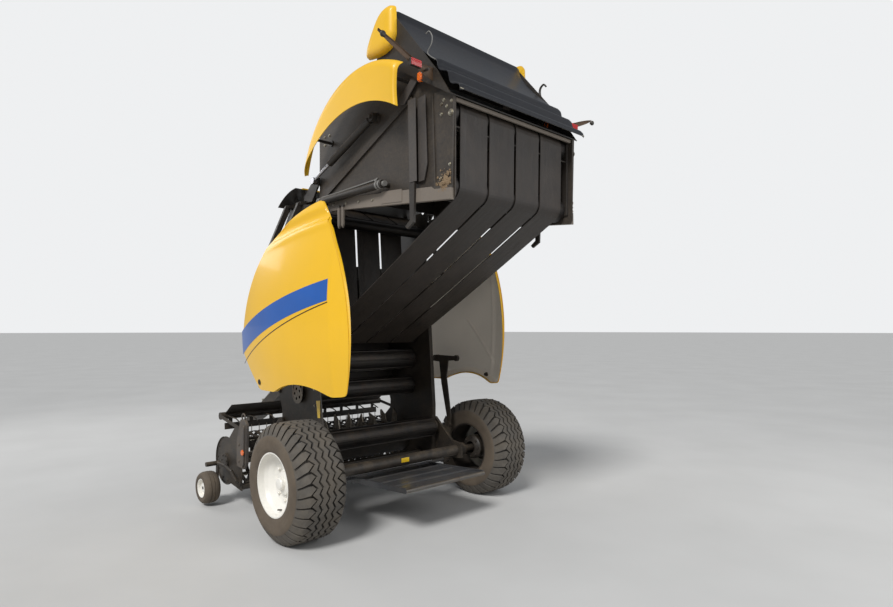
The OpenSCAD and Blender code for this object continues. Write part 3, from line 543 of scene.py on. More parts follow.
def rubber_belt(name, colour):
    """Belt rubber: a pressed weave of two crossed waves, streaks along the belt, pale blotches."""
    f = Finish(name)
    base = linear(colour)
    streak = f.noise(1.0, 5.0, stretch=(0.7, 26.0, 0.7), rough=0.7)
    blotch = f.noise(3.5, 5.0)
    tone = f.shades(base, streak, 0.35, 0.68, 0.62, 1.5)
    tone = f.mix(f.remap(blotch, 0.45, 0.75, 0.0, 0.5), tone, shade(base, 2.1))
    tone, cover = dusty(f, tone, 0.28, floor=0.12)
    roughness = f.remap(f.math("ADD", streak, cover), 0.3, 1.2, 0.42, 0.8)
    f.bump([(f.wave("Y", 45.0), 0.0003), (f.wave("DIAGONAL", 45.0), 0.0003),
            (f.noise(6.0, 3.0, stretch=(1, 3, 1)), 0.003)])
    return f.done(tone, roughness)


def tyre_rubber(name, colour):
    """Tyre rubber: dry dust on the tread, painted shade deep in the grooves, darker scuffed side walls."""
    f = Finish(name)
    base = linear(colour)
    tone = f.shades(base, f.noise(12.0, 6.0), 0.35, 0.65, 0.75, 1.35)
    groove_shade = f.value("groove")
    tread = f.value("tread")
    cover = f.math("MULTIPLY", f.remap(f.noise(16.0, 8.0, rough=0.7), 0.3, 0.75, 0.45, 1.0), tread)
    tone = f.mix(f.math("MULTIPLY", cover, 0.66), tone, linear((0.43, 0.405, 0.37)))
    # Painted shade: the grooves are darkened to three tenths of the rubber's tone
    tone = f.mix(f.math("MULTIPLY", groove_shade, 0.86), tone, shade(base, 0.30))
    smooth_side = f.math("SUBTRACT", 1.0, tread)
    film = f.math("MULTIPLY", smooth_side, f.remap(f.noise(3.0, 6.0), 0.3, 0.7, 0.45, 0.85))
    tone = f.mix(f.math("MULTIPLY", film, 0.75), tone, linear((0.46, 0.40, 0.33)))
    patches = f.remap(f.noise(5.0, 7.0), 0.4, 0.7, 0.0, 0.25)
    tone = f.mix(patches, tone, linear((0.48, 0.43, 0.36)))
    f.bump([(f.noise(220.0, 3.0), 0.0004), (f.noise(30.0, 4.0), 0.0010)])
    return f.done(tone, f.remap(f.noise(20.0, 3.0), 0.3, 0.7, 0.72, 0.95))


def stripe_film(name, colour):
    """Printed film on the panel: even colour with a faint fade and a smooth face."""
    f = Finish(name)
    tone = f.shades(linear(colour), f.noise(2.2, 3.0), 0.3, 0.7, 0.92, 1.08)
    tone, cover = dusty(f, tone, 0.10, floor=0.05)
    f.bump([(f.noise(140.0, 2.0), 0.00008)])
    return f.done(tone, f.remap(cover, 0.0, 0.3, 0.28, 0.5), Coat_Weight=0.4)


def lamp_lens(name, colour):
    """Moulded lens: ribs of a wave across it, with painted shade in the grooves and a painted highlight on
    the ridges.
    """
    f = Finish(name)
    base = linear(colour)
    ribs = f.wave("Z", 30.0)
    # Painted shade and highlight: the colour darkens in the rib grooves and brightens on the ridges
    tone = f.mix(ribs, shade(base, 0.6), shade(base, 1.2))
    tone, cover = dusty(f, tone, 0.15, floor=0.05)
    f.bump([(ribs, 0.001)])
    return f.done(tone, f.remap(cover, 0.0, 0.3, 0.12, 0.4), Coat_Weight=0.6)


MATERIALS = {}

# Slot that goes with each material, unless a piece's own call names another; finish gives it to nothing
SLOTS = {
    "amber": "lamp_red", "beam": "black_paint", "belt": "rubber_belt", "black": "black_paint",
    "channel": "black_paint", "cover": "black_plastic", "jack": "grey_metal", "lining": "yellow_paint",
    "pinstripe": "yellow_paint", "ramp": "black_paint", "red": "lamp_red", "shield": "yellow_plastic",
    "soil": "black_paint", "steel": "worn_steel", "sticker": "yellow_plastic", "stripe": "yellow_paint",
    "tyre": "tyre_rubber", "white": "white_rim", "wing": "wing_brown", "yellow": "yellow_paint",
    "zinc": "worn_steel",
}


def build_materials():
    """All finishes, from the colours of the scene's property group."""
    s = bpy.context.scene.baler_colours
    m = MATERIALS
    m["yellow"] = painted("panel_yellow", s.yellow, 0.26, 0.10, coat=0.5, fade=0.03)
    m["shield"] = painted("shield_yellow", s.yellow, 0.34, 0.16, coat=0.25, fade=0.04)
    m["lining"] = painted("panel_lining", s.lining, 0.6, 0.08, fade=0.05, peel=0.0003)
    m["black"] = painted("frame_black", s.black, 0.38, 0.26, chips=0.35, fade=0.3)
    # Black plastic tinted blue in its colour for the sky it reflects: painted reflection
    m["cover"] = painted("cover_plastic", (0.070, 0.088, 0.118), 0.25, 0.07, fade=0.10)
    m["gate"] = painted("gate_paint", s.gate, 0.42, 0.45, chips=0.3, fade=0.25)
    m["beam"] = painted("beam_paint", s.beam, 0.55, 0.5, chips=0.3, fade=0.12)
    m["channel"] = painted("channel_paint", (0.23, 0.225, 0.23), 0.42, 0.4, chips=0.3)
    # Black paint lightened and tinted blue for the sky it reflects: painted reflection
    m["ramp"] = painted("ramp_paint_sky_reflection", (0.19, 0.205, 0.225), 0.2, 0.14, coat=0.3, chips=0.3)
    m["white"] = painted("rim_white", s.rim, 0.3, 0.16, coat=0.2, fade=0.03)
    m["rim"] = rim_paint("rim_two_sides", s.rim)
    m["wing"] = painted("wing_paint", (0.30, 0.21, 0.13), 0.45, 0.3, chips=0.3)
    m["jack"] = painted("jack_grey", (0.50, 0.50, 0.49), 0.45, 0.35, chips=0.5, metallic=0.2)
    m["steel"] = bare_metal("worn_steel", (0.47, 0.45, 0.42), 0.34, 0.3)
    m["roll"] = bare_metal("roll_steel", (0.19, 0.19, 0.195), 0.36, 0.16, stain=0.2)
    m["chrome"] = bare_metal("rod_chrome", (0.78, 0.78, 0.80), 0.12, 0.06, metallic=1.0)
    m["zinc"] = bare_metal("bolt_zinc", (0.66, 0.64, 0.58), 0.3, 0.15)
    m["belt"] = rubber_belt("belt_rubber", s.belt)
    m["tyre"] = tyre_rubber("tyre_rubber", s.tyre)
    m["stripe"] = stripe_film("stripe_blue", s.stripe)
    m["pinstripe"] = stripe_film("stripe_dark", (0.22, 0.13, 0.05))
    m["red"] = lamp_lens("lens_red", (0.72, 0.05, 0.04))
    m["amber"] = lamp_lens("lens_amber", (0.96, 0.42, 0.05))
    m["sticker"] = stripe_film("sticker_yellow", (0.90, 0.74, 0.10))
    m["soil"] = painted("dry_soil", (0.55, 0.46, 0.35), 0.85, 0.4, fade=0.35, peel=0.0030)


# Finish of each CAD node that stays in view: material, then the nodes that take it
NODE_FINISHES = (
    ("black", "chamber_walls cross_members axle_beam drawbar jack_sleeve gearbox front_shield"
              " pickup_frame stripper_bands gauge_arms wind_guard tailgate_beams net_box latch_hooks"
              " tension_cylinders lift_barrel_left lift_barrel_right driveline"),
    ("ramp", "bale_ramp"),
    ("gate", "tailgate_walls"),
    ("shield", "top_hood side_shields net_box_caps"),
    ("steel", "hitch_eye drive_chains feeder_rotor pickup_reel"),
    ("roll", "chamber_rolls front_belt_rolls tailgate_rolls"),
    ("belt", "front_belts tailgate_belts inner_belts"),
    ("tyre", "gauge_wheel_left gauge_wheel_right tyre_left tyre_right"),
    ("rim", "rim_left rim_right"),
    ("wing", "lamp_wings"),
    ("red", "rear_lamps"),
    ("cover", "net_cover"),
    ("chrome", "lift_rod_left lift_rod_right"),
    ("yellow", "side_panel_left side_panel_right"),
    ("jack", "jack_leg"),
)


def finish_nodes():
    """Gives every CAD node its material."""
    for key, names in NODE_FINISHES:
        for name in names.split():
            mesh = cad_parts[name].data
            mesh.materials.clear()
            mesh.materials.append(MATERIALS[key])


def build_tyre(side_name, side, sizes):
    """A tyre as a net of angle by profile. Over the tread y is moved by a triangle wave of the
    angle, so that the five ring grooves zigzag; each shoulder has one slanted notch a pitch. The
    radius is the section's at y, less the tread depth in a groove."""
    pitches = sizes.tread_pitches
    depth = sizes.tread_depth
    half = TYRE_W / 2
    share, stay = np.array(TYRE_SECTION).T
    wall_r = RIM_R + (TYRE_R - RIM_R) * share
    # Stations round one pitch, and 1 where the left shoulder is notched; the right one is half a
    # pitch later
    phases = np.array([0.0, 0.03, 0.21, 0.24, 0.31, 0.42, 0.50, 0.53, 0.71, 0.74, 0.81, 0.92])
    notch = np.array([0, 1, 1, 0, 0, 0, 0, 0, 0, 0, 0, 0], float)
    turn = (np.arange(pitches)[:, None] + phases).reshape(-1) / pitches
    left = np.tile(notch, pitches)[:, None]
    right = np.tile(np.roll(notch, 6), pitches)[:, None]
    # Stations over the tread: y, and 1 in a ring groove
    stations = [(-0.2085, 0), (-0.200, 0), (-0.190, 0), (-0.176, 0), (-0.160, 0), (-0.149, 0)]
    for y in (-0.114, -0.057, 0.0, 0.057, 0.114):
        stations += [(y - 0.0095, 0), (y - 0.0062, 1), (y + 0.0062, 1), (y + 0.0095, 0)]
    stations += [(0.149, 0), (0.160, 0), (0.176, 0), (0.190, 0), (0.200, 0), (0.2085, 0)]
    y, ring = np.array(stations, float).T
    crown = np.interp(np.abs(y), (half - stay)[:1:-1], wall_r[:1:-1])
    crown = crown - 0.004 * (y / 0.12) ** 2 * (np.abs(y) < 0.12)
    crown = np.minimum(crown, TYRE_R - 0.004 * ease(np.abs(y) / 0.13))
    triangle = 2 * np.abs(2 * ((turn[:, None] * pitches) % 1.0) - 1) - 1
    swing = 0.013 + 0.011 * ease((np.abs(y) - 0.07) / 0.03)
    across = y + swing * triangle * ease((0.149 - np.abs(y)) / 0.02)
    slant = ease((np.abs(y) - 0.14) / 0.09) * 0.45 / pitches
    around = turn[:, None] + slant
    shoulder = ((np.abs(y) > 0.12) & (np.abs(y) < 0.207)).astype(float)
    cross = np.where(y > 0, left, right) * shoulder
    groove = np.maximum(ring[None], cross)
    shallow = 1 - 0.5 * ease((np.abs(y) - 0.188) / 0.02)
    cut = np.where(groove > 0, depth * (1 + 0.5 * shoulder) * shallow, 0)
    radius = crown - cut * groove
    # Side wall from the tread's left edge to the bead: (y, radius), then the same on the right
    wall = [(0.2135, 0.374), (0.2170, 0.364), (0.2195, 0.354), (0.2215, 0.342), (0.2218, 0.330),
            (0.2205, 0.322), (0.2212, 0.316), (0.2200, 0.300), (0.2185, 0.294), (0.2190, 0.288),
            (0.2165, 0.276), (0.2130, 0.264), (0.2075, RIM_R + 0.001)]
    wall = np.array(wall + [(-a, r) for a, r in reversed(wall)])
    wall_y = np.broadcast_to(wall[:, 0], (len(turn), len(wall)))
    wall_angle = np.broadcast_to(turn[:, None] + 0.45 / pitches, wall_y.shape)
    angle = 2 * math.pi * np.hstack([around, wall_angle])
    all_y = np.hstack([across, wall_y])
    all_r = np.hstack([radius, np.broadcast_to(wall[:, 1], wall_y.shape)])
    points = surface(all_r * np.cos(angle), all_y, all_r * np.sin(angle)) + [0, TRACK_HALF, AXLE_Z]
    tread = np.hstack([np.ones_like(across), np.zeros(wall_y.shape)])
    # 1 in a groove, where the tyre's finish paints shade
    groove_shade = np.hstack([groove, np.zeros(wall_y.shape)])
    Piece().grid(points, True, True).finish(
        f"tyre_tread_{side_name}", "tyre", f"wheel_{side_name}", (f"tyre_{side_name}",), side, 38,
        values={"groove": groove_shade, "tread": tread})


def build_wheel_fittings(side_name, side):
    """Hub cap, wheel nuts on their flange and a valve, on one wheel, with the hub, the brake flange
    and its bolts on the inner side."""
    body = f"wheel_{side_name}"
    hub = TRACK_HALF
    angles = np.radians(np.arange(8) * 45.0)
    piece = Piece().lathe([(0.048, 0.118), (0.048, 0.146), (0.042, 0.155), (0.026, 0.160), (0.0, 0.161)],
                          (0, hub, AXLE_Z))
    piece.lathe([(0.105, 0.070), (0.105, 0.092), (0.099, 0.096), (0.0, 0.096)], (0, hub, AXLE_Z))
    piece.finish(f"hub_cap_{side_name}", "white", body, (), side)
    piece = Piece().bolts(on_circle(0, hub + 0.088, AXLE_Z, 0.134, angles), size=0.013, height=0.022)
    piece.finish(f"wheel_nuts_{side_name}", "white", body, (), side)
    piece = Piece().tube([(0.0, hub + 0.128, AXLE_Z - 0.205), (0.0, hub + 0.160, AXLE_Z - 0.198)], 0.006, 8)
    piece.lathe([(0.060, -0.214), (0.105, -0.200), (0.118, -0.186), (0.118, -0.060), (0.150, -0.040),
                 (0.150, -0.006), (0.060, 0.0)], (0, hub + 0.060, AXLE_Z), ring=True)
    piece.bolts(on_circle(0, hub - 0.141, AXLE_Z, 0.094, angles), size=0.011, height=0.014, toward=-1)
    piece.finish(f"hub_inner_{side_name}", "black", body, (), side)


def build_gauge_wheel(side_name, side):
    """A gauge wheel: a ribbed tyre turned as a closed section, and a pale rim with its hub."""
    body = f"gauge_wheel_{side_name}"
    low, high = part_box("gauge_wheel_left")
    r = (high[2] - low[2]) / 2
    w = (high[1] - low[1]) / 2
    centre = ((low[0] + high[0]) / 2 - AXLE_X, (low[1] + high[1]) / 2, (low[2] + high[2]) / 2)
    half = [(r - 0.0005, 0.0), (r - 0.0005, 0.012), (r - 0.007, 0.014), (r - 0.007, 0.021),
            (r - 0.001, 0.023), (r - 0.003, w - 0.034), (r - 0.010, w - 0.016), (r - 0.024, w - 0.003),
            (r - 0.040, w), (r - 0.056, w - 0.002), (r - 0.064, w - 0.010)]
    section = half + [(a, -b) for a, b in reversed(half[1:])]
    piece = Piece().lathe(section, centre, sides=64, ring=True)
    worn = np.full(piece.total, 0.3)
    piece.finish(f"gauge_tyre_{side_name}", "tyre", body, (body,), side,
                 values={"groove": worn, "tread": worn})
    half = [(r - 0.060, w - 0.010), (r - 0.064, w - 0.006), (r - 0.070, w - 0.008), (r - 0.074, 0.026),
            (0.058, 0.022), (0.044, 0.046), (0.0152, 0.048)]
    piece = Piece().lathe(half + [(a, -b) for a, b in reversed(half)], centre, sides=48, ring=True)
    piece.finish(f"gauge_rim_{side_name}", "white", body, (), side)


def panel_surface(x, z):
    """Outer face of a front panel: a torus of radii BULGE_H and BULGE_V, with a crease behind
    which the face turns in, and a trough under the top edge that fades out forwards."""
    rho = (BULGE_H - BULGE_V) + np.sqrt(BULGE_V**2 - (z - BULGE_Z) ** 2)
    y = (PANEL_Y - BULGE_H) + np.sqrt(rho**2 - (x - BULGE_X) ** 2)
    crease = np.maximum(-0.30 - x, 0) * 0.16 * ease((-0.30 - x) / 0.05)
    ridge = 2.482 - 0.165 * x - 0.04 * x**2
    over = z - ridge
    trough = 0.030 * ease(over / 0.045) * (1 - 0.75 * ease((over - 0.075) / 0.07))
    trough *= 1 - ease((x - 0.25) / 0.5)
    rise = 0.007 * np.exp(-((over + 0.02) / 0.03) ** 2) * (1 - ease((x - 0.3) / 0.5))
    return y - crease - trough + rise


def reach(centre, direction, circle, inside=True):
    """How far rays from the centre run before they cross a circle."""
    c = np.asarray(circle[:2]) - centre
    along = direction @ c
    under = along**2 - (c @ c - circle[2] ** 2)
    root = np.sqrt(np.maximum(under, 0))
    if inside:
        return along + root
    return np.where((under > 0) & (along - root > 0), along - root, FAR)


def panel_outline(count, inset):
    """Distance from the panel's middle to its outline along each of count rays: the least of the
    ways to its rear arc, front arc, foot lines and wheel arch, with the corners smoothed."""
    centre = np.array([0.25, 1.80])
    a = np.linspace(0, 2 * math.pi, count, endpoint=False)
    d = np.stack([np.cos(a), np.sin(a)], 1)
    ways = [reach(centre, d, PANEL_REAR_ARC), reach(centre, d, PANEL_FRONT_ARC),
            reach(centre, d, PANEL_ARCH, False)]
    for p, q in zip(PANEL_FOOT[:-1], PANEL_FOOT[1:]):
        p, q = np.array(p), np.array(q)
        normal = unit(np.array([q[1] - p[1], p[0] - q[0]]))
        toward = d @ normal
        ways.append(np.where(toward > 1e-6, ((p - centre) @ normal) / np.maximum(toward, 1e-6), FAR))
    r = np.min(ways, axis=0) - inset
    reach_of_blur = count // 160
    kernel = np.hanning(2 * reach_of_blur + 3)[1:-1]
    kernel /= kernel.sum()
    wrapped = np.concatenate([r[-reach_of_blur:], r, r[:reach_of_blur]])
    return centre, a, np.convolve(wrapped, kernel, "valid")


def panel_net(count, rings, offset, inset, lip):
    """Net of rings over the panel from its middle outwards. The last rings turn in over the edge:
    the lip follows a quarter circle of that depth, or less where the closed shield passes inside."""
    centre, a, r = panel_outline(count, inset)
    share = np.concatenate([np.linspace(0, 0.90, rings - 10) ** 0.8, np.linspace(0.93, 1.0, 4)])
    x = centre[0] + share[:, None] * r * np.cos(a)
    z = centre[1] + share[:, None] * r * np.sin(a)
    y = panel_surface(x, z) - offset
    turn = np.radians(np.linspace(15, 90, 6))
    out = (np.sin(turn) - 1) * lip * 0.35
    x = np.vstack([x, x[-1] + np.outer(out, np.cos(a))])
    z = np.vstack([z, z[-1] + np.outer(out, np.sin(a))])
    depth = np.clip(y[-1] - SHIELD_Y - 0.009, 0.004, lip)
    y = np.vstack([y, y[-1] - 0.002 - np.outer(1 - np.cos(turn), depth)])
    return surface(x, y, z)


def build_side_panels():
    """Both front panels: outer shell with a turned-in lip, a lining with ribs, the arms up to the
    hinge, the stripe films, a key lock and a stop with its rubber."""
    s = bpy.context.scene.baler_sizes
    for side_name, side in SIDES:
        body = f"side_panel_{side_name}"
        piece = Piece().disc_shell(panel_net(360, 44, 0.0, 0.0, 0.030), 0.005)
        piece.finish(f"panel_shell_{side_name}", "yellow", body, (body,), side, 50)
        net = panel_net(300, 50, 0.0075, 0.012, 0.001)[:-6]
        x, z = net[..., 0], net[..., 2]
        # Ribs: one slanted across the panel, one upright and one round the wheel arch
        along = 0.742 * (x + 0.055) + 0.671 * (z - 1.565)
        off = 0.742 * (z - 1.565) - 0.671 * (x + 0.055)
        rib = 0.014 * np.exp(-(off / 0.014) ** 2) * ease((0.36 - np.abs(along)) / 0.05)
        rib += 0.010 * np.exp(-((x + 0.255) / 0.012) ** 2)
        rib += 0.010 * np.exp(-((np.hypot(x - PANEL_ARCH[0], z - PANEL_ARCH[1]) - 0.945) / 0.013) ** 2)
        net[..., 1] -= rib
        piece = Piece().disc_shell(net, 0.002)
        piece.finish(f"panel_lining_{side_name}", "lining", body, (), side, 50)
        piece = Piece()
        y, z = PANEL_HINGE
        for x in (0.486, 0.706):
            skin = panel_surface(x + 0.013, 2.17)
            piece.plate([(y - 0.020, z - 0.020), (y, z + 0.024), (y + 0.030, z + 0.010),
                         (skin - 0.014, 2.22), (skin - 0.007, 2.12), (skin - 0.034, 2.17)],
                        0.015, x, x + 0.026, 0, 0.003)
            piece.lathe([(0.020, -0.004), (0.020, 0.030), (0.012, 0.034), (0.0, 0.034)], (x, y, z), 0, 20)
        x, z = 0.74, 1.20
        lock = panel_surface(x, z)
        piece.lathe([(0.026, -0.012), (0.026, 0.003), (0.021, 0.006), (0.0, 0.006)], (x, lock, z), sides=28)
        piece.box((x - 0.004, lock + 0.004, z - 0.012), (x + 0.004, lock + 0.010, z + 0.012), 0.001)
        x, z = -0.20, 1.22
        stop = panel_surface(x, 1.20) - 0.012
        piece.lathe([(0.020, 0.0), (0.020, -0.014), (0.014, -0.030), (0.0, -0.031)], (x, stop, z), sides=20)
        piece.finish(f"panel_arms_{side_name}", "black", body, (), side)
        build_stripes(side_name, side, s.film_lift)


def stripe_net(low, high, x0, x1, lift, rows):
    """A band between two curves of x, laid on the panel's face and lifted off it by the film."""
    x = np.linspace(x0, x1, 120)[None, :]
    t = np.linspace(0, 1, rows)[:, None]
    z = low(x) * (1 - t) + high(x) * t
    return surface(x, panel_surface(x, z) + lift, z)


def build_stripes(side_name, side, lift):
    """The swept blue band and the thin dark line that runs under it, with nothing on them."""
    body = f"side_panel_{side_name}"

    def low(x):
        return 1.815 - 0.262 * x - 0.060 * x**2

    def high(x):
        return 1.990 - 0.235 * x - 0.053 * x**2

    def line(x):
        return low(x) - 0.010 - 0.055 * (x + 0.30)

    def under(x):
        return line(x) - 0.009

    piece = Piece().shell(stripe_net(low, high, -0.295, 1.165, lift, 10), -lift * 0.9)
    piece.finish(f"stripe_band_{side_name}", "stripe", body, (), side, 60)
    piece = Piece().shell(stripe_net(under, line, -0.30, 1.135, lift, 3), -lift * 0.9)
    piece.finish(f"stripe_line_{side_name}", "pinstripe", body, (), side, 60)


def build_shields():
    """Raised side shields: a crescent between two arcs, each point of one joined to a point of the
    other. The face turns in over a quarter circle along the outer edge and at the rear end, which
    is hollowed by the sine of the way across."""
    count, across = 150, 30
    t = np.linspace(0, 1, count)
    outer = arc(SHIELD_OUTER[:2], SHIELD_OUTER[2], 13.6, 118.9, count)
    inner = arc(SHIELD_INNER[:2], SHIELD_INNER[2], 38.2, 119.4, count)
    v = np.linspace(0, 1, across)
    flat = inner[None] * (1 - v)[:, None, None] + outer[None] * v[:, None, None]
    flat[..., 0] += 0.014 * np.sin(math.pi * v)[:, None] * (t**24)[None]
    width = np.linalg.norm(outer - inner, axis=1)
    fold = np.clip(1 - (1 - v)[:, None] * width[None] / 0.075, 0, 1)
    y = SHIELD_Y - 0.002 - 0.070 * (1 - np.sqrt(np.maximum(1 - fold**2, 0)))
    rear = np.clip(1 - (1 - t) * 1.6 / 0.05, 0, 1)
    y = y - 0.030 * (1 - np.sqrt(np.maximum(1 - rear**2, 0)))[None]
    y = np.maximum(y, SHIELD_Y - 0.078)
    piece = Piece().shell(surface(flat[..., 0], y, flat[..., 1]), 0.005)
    piece.mirrored().finish("shield_shells", "shield", "tailgate", ("side_shields",), 1, 45)
    piece = Piece()
    for x, z in SHIELD_STAYS:
        piece.tube([(x, GATE_OUT + 0.001, z), (x, SHIELD_Y - 0.012, z)], 0.012, 12)
        piece.lathe([(0.026, 0), (0.026, 0.006), (0.0, 0.006)], (x, GATE_OUT + 0.001, z), sides=20)
    piece.mirrored().finish("shield_stays", "black", "tailgate")


def build_inner_belts():
    """The belt run from the tailgate's lower roll to the frame's low roll: straight between the
    tangent points of the two rolls, less a sag of 0.012 sin(pi t)."""
    a, b = np.array(LOW_ROLL[:2]), np.array(GATE_LOWER_ROLL[:2])
    d = unit(b - a)
    tilt = math.asin((GATE_LOWER_ROLL[2] - LOW_ROLL[2]) / np.linalg.norm(b - a))
    out = math.cos(tilt) * np.array([-d[1], d[0]]) - math.sin(tilt) * d
    start = a + out * (LOW_ROLL[2] + 0.0005)
    end = b + out * (GATE_LOWER_ROLL[2] + 0.0005)
    run = np.linspace(0, 1, 60)
    sag = -0.012 * np.sin(math.pi * run)
    piece = Piece()
    for k in (-1.5, -0.5, 0.5, 1.5):
        y = np.linspace(-BELT_W / 2, BELT_W / 2, 7) + k * BELT_PITCH
        path = start[None] * (1 - run)[:, None] + end[None] * run[:, None]
        piece.shell(surface(path[:, :1], y, path[:, 1:] + sag[:, None]), BELT_T)
    obj = piece.finish("belts_inner_run", "belt", None, ("inner_belts",), 1, 40)
    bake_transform(obj)


def build_net_cover():
    """Net wrap cover: a profile with a rounded top, a hollow that is deepest above its middle, and
    two flutes above a flared lip, carried across the machine. It drops a little at its ends."""
    half = 0.707
    hollow_depth = 0.038
    flute_height = 0.019
    drop = 0.006
    a, b, c = np.array(COVER_TOP), np.array(COVER_KNEE), np.array(COVER_LIP)
    out = unit(np.array([b[1] - a[1], a[0] - b[0]]))
    t = np.linspace(0.09, 1, 14)[:, None]
    hollow = a + (b - a) * t - out * hollow_depth * np.sin(math.pi * t**0.75)
    steps = np.linspace(0, 1, 13)[1:, None]
    flute = b + (c - b) * steps + out * flute_height * np.maximum(np.sin(2.5 * 2 * math.pi * steps), -0.6)
    profile = np.vstack([(-0.793, 3.9975), (-0.806, 4.0030), hollow, flute])
    x, z = smooth_path(profile, 120).T[:, :, None]
    y = np.linspace(-half, half, 40)
    fall = drop * ease((np.abs(y) - half + 0.04) / 0.04)
    piece = Piece().shell(surface(x + fall, y, z - fall), 0.004)
    piece.finish("cover_shell", "cover", "net_cover", ("net_cover",), 1, 30)
    # Painted highlight: a bright zinc tube on the black plastic lip stands for the pale line of light along
    # it
    piece = Piece().tube([(-1.483, y, 3.2355) for y in (-half, half)], 0.005, 8)
    piece.finish("cover_lip_highlight", "zinc", "net_cover", slot="black_plastic")
    piece = Piece()
    x, z = COVER_PIN
    for side in (1, -1):
        piece.plate([(x + 0.004, z + 0.014), (x - 0.026, z + 0.029), (x - 0.034, z + 0.012),
                     (x + 0.006, z - 0.012)], 0.006, side * 0.680 - 0.01, side * 0.680 + 0.01)
        piece.tube([(x, side * 0.672, z), (x, side * 0.7215, z)], 0.008, 12)
    piece.finish("cover_hinges", "black", "net_cover", slot="black_plastic")


def build_wings():
    """The two wings that carry the rear lamps: a leaf drawn by its lower and upper edge, with a
    folded rim along the top, a knob near its tip, and the lamp on its back."""
    low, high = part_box("lamp_wings")
    x = low[0] - AXLE_X
    tip = high[1]
    # Across the machine: distance from the middle, underside and top of the leaf
    table = np.array([(0.7225, 3.352, 3.436), (0.790, 3.362, 3.434), (0.850, 3.384, 3.438),
                      (0.920, 3.411, 3.455), (1.010, 3.449, 3.488), (1.100, 3.487, 3.518),
                      (tip - 0.001, 3.531, 3.543)])
    across, under, top = smooth_path(table, 40).T[:, :, None]
    v = np.linspace(0, 1, 7)
    front = x + 0.011 - 0.008 * ease((v - 0.8) / 0.2)
    piece = Piece().shell(surface(front, across, under * (1 - v) + top * v), 0.002)
    piece.mirrored().finish("wing_plates", "wing", "tailgate", ("lamp_wings",), 1, 40)
    piece = Piece().box((x - 0.0235, 0.851, 3.389), (x - 0.018, 0.939, 3.433), 0.002)
    piece.mirrored().finish("lamp_lenses", "red", "tailgate", ("rear_lamps",), 1)
    piece = Piece().box((x - 0.0185, 0.849, 3.387), (x + 0.003, 0.941, 3.435), 0.003)
    piece.tube([(x + 0.004, 0.800, 3.395), (x - 0.034, 0.800, 3.395)], 0.009, 12)
    piece.lathe([(0.0, 0.0), (0.016, 0.003), (0.021, 0.012), (0.018, 0.022), (0.0, 0.026)],
                (x - 0.030, tip - 0.022, 3.508), 0, 20)
    piece.tube([(x + 0.004, tip - 0.022, 3.510), (x - 0.012, tip - 0.022, 3.508)], 0.008, 10)
    piece.mirrored().finish("lamp_backs", "black", "tailgate", slot="black_plastic")


def build_net_caps():
    """Yellow ends of the net box: an outline whose rings rise towards the middle, the height
    following sqrt(1 - share^5)."""
    corners = [(-0.503, 3.726), (-0.512, 3.776), (-0.563, 3.868), (-0.634, 3.962), (-0.674, 4.004),
               (-0.721, 4.028), (-0.770, 4.036), (-0.813, 4.030), (-0.841, 4.008), (-0.847, 3.802),
               (-0.799, 3.720), (-0.700, 3.702), (-0.600, 3.708)]
    outline = rounded(corners, 0.03, 5)
    share = np.linspace(0, 1, 14) ** 0.5
    middle_point = np.array([-0.71, 3.85])
    net = middle_point + (outline - middle_point)[None] * share[:, None, None]
    y = 0.7245 + 0.059 * np.sqrt(np.maximum(1 - share**5, 0))
    # The outermost ring again, on the wall side
    net = np.concatenate([net[1:], net[-1:]])
    y = np.append(y[1:], 0.7235)
    piece = Piece().grid(surface(net[..., 0], y[:, None], net[..., 1]), False, True, True)
    piece.mirrored().finish("cap_shells", "shield", "tailgate", ("net_box_caps",), 1, 50)


def build_gate_beams():
    """The pale beam along the tailgate's lower edge with its cover plate and the fingers of its
    latch, and the channel that stands on it with the bracket of the lamp."""
    out = GATE_OUT
    piece = Piece().prism([(0.071, 2.659), (0.071, 2.756), (-1.196, 2.6424), (-1.226, 2.6212),
                           (-1.386, 2.6065), (-1.386, 2.529)], out - 0.001, out + 0.0312)
    piece.prism([(-0.639, 2.701), (-0.639, 2.609), (-0.881, 2.589), (-0.881, 2.681)],
                out + 0.0290, out + 0.0352)
    for x in (-0.070, -0.125):
        piece.plate([(x + 0.015, 2.660), (x + 0.013, 2.518), (x - 0.004, 2.489), (x - 0.015, 2.519),
                     (x - 0.015, 2.660)], 0.006, out + 0.029, out + 0.0455)
    piece.mirrored().finish("gate_beams", "beam", "tailgate")
    piece = Piece()
    for corners, low, high in (
        ([(-0.984, 2.705), (-0.964, 3.291), (-1.046, 3.291), (-1.061, 2.705)], 0.041, 0.049),
        ([(-0.984, 2.705), (-0.964, 3.291), (-0.974, 3.291), (-0.994, 2.705)], 0, 0.0485),
        ([(-1.050, 2.705), (-1.036, 3.291), (-1.118, 3.300), (-1.140, 2.820), (-1.108, 2.705)],
         0.010, 0.020),
    ):
        piece.prism(corners, out + low, out + high)
    piece.plate([(-1.045, 3.500), (-1.105, 3.470), (-0.905, 3.285), (-0.850, 3.300), (-0.850, 3.345)],
                0.01, out + 0.022, out + 0.032)
    piece.mirrored().finish("gate_channels", "channel", "tailgate")


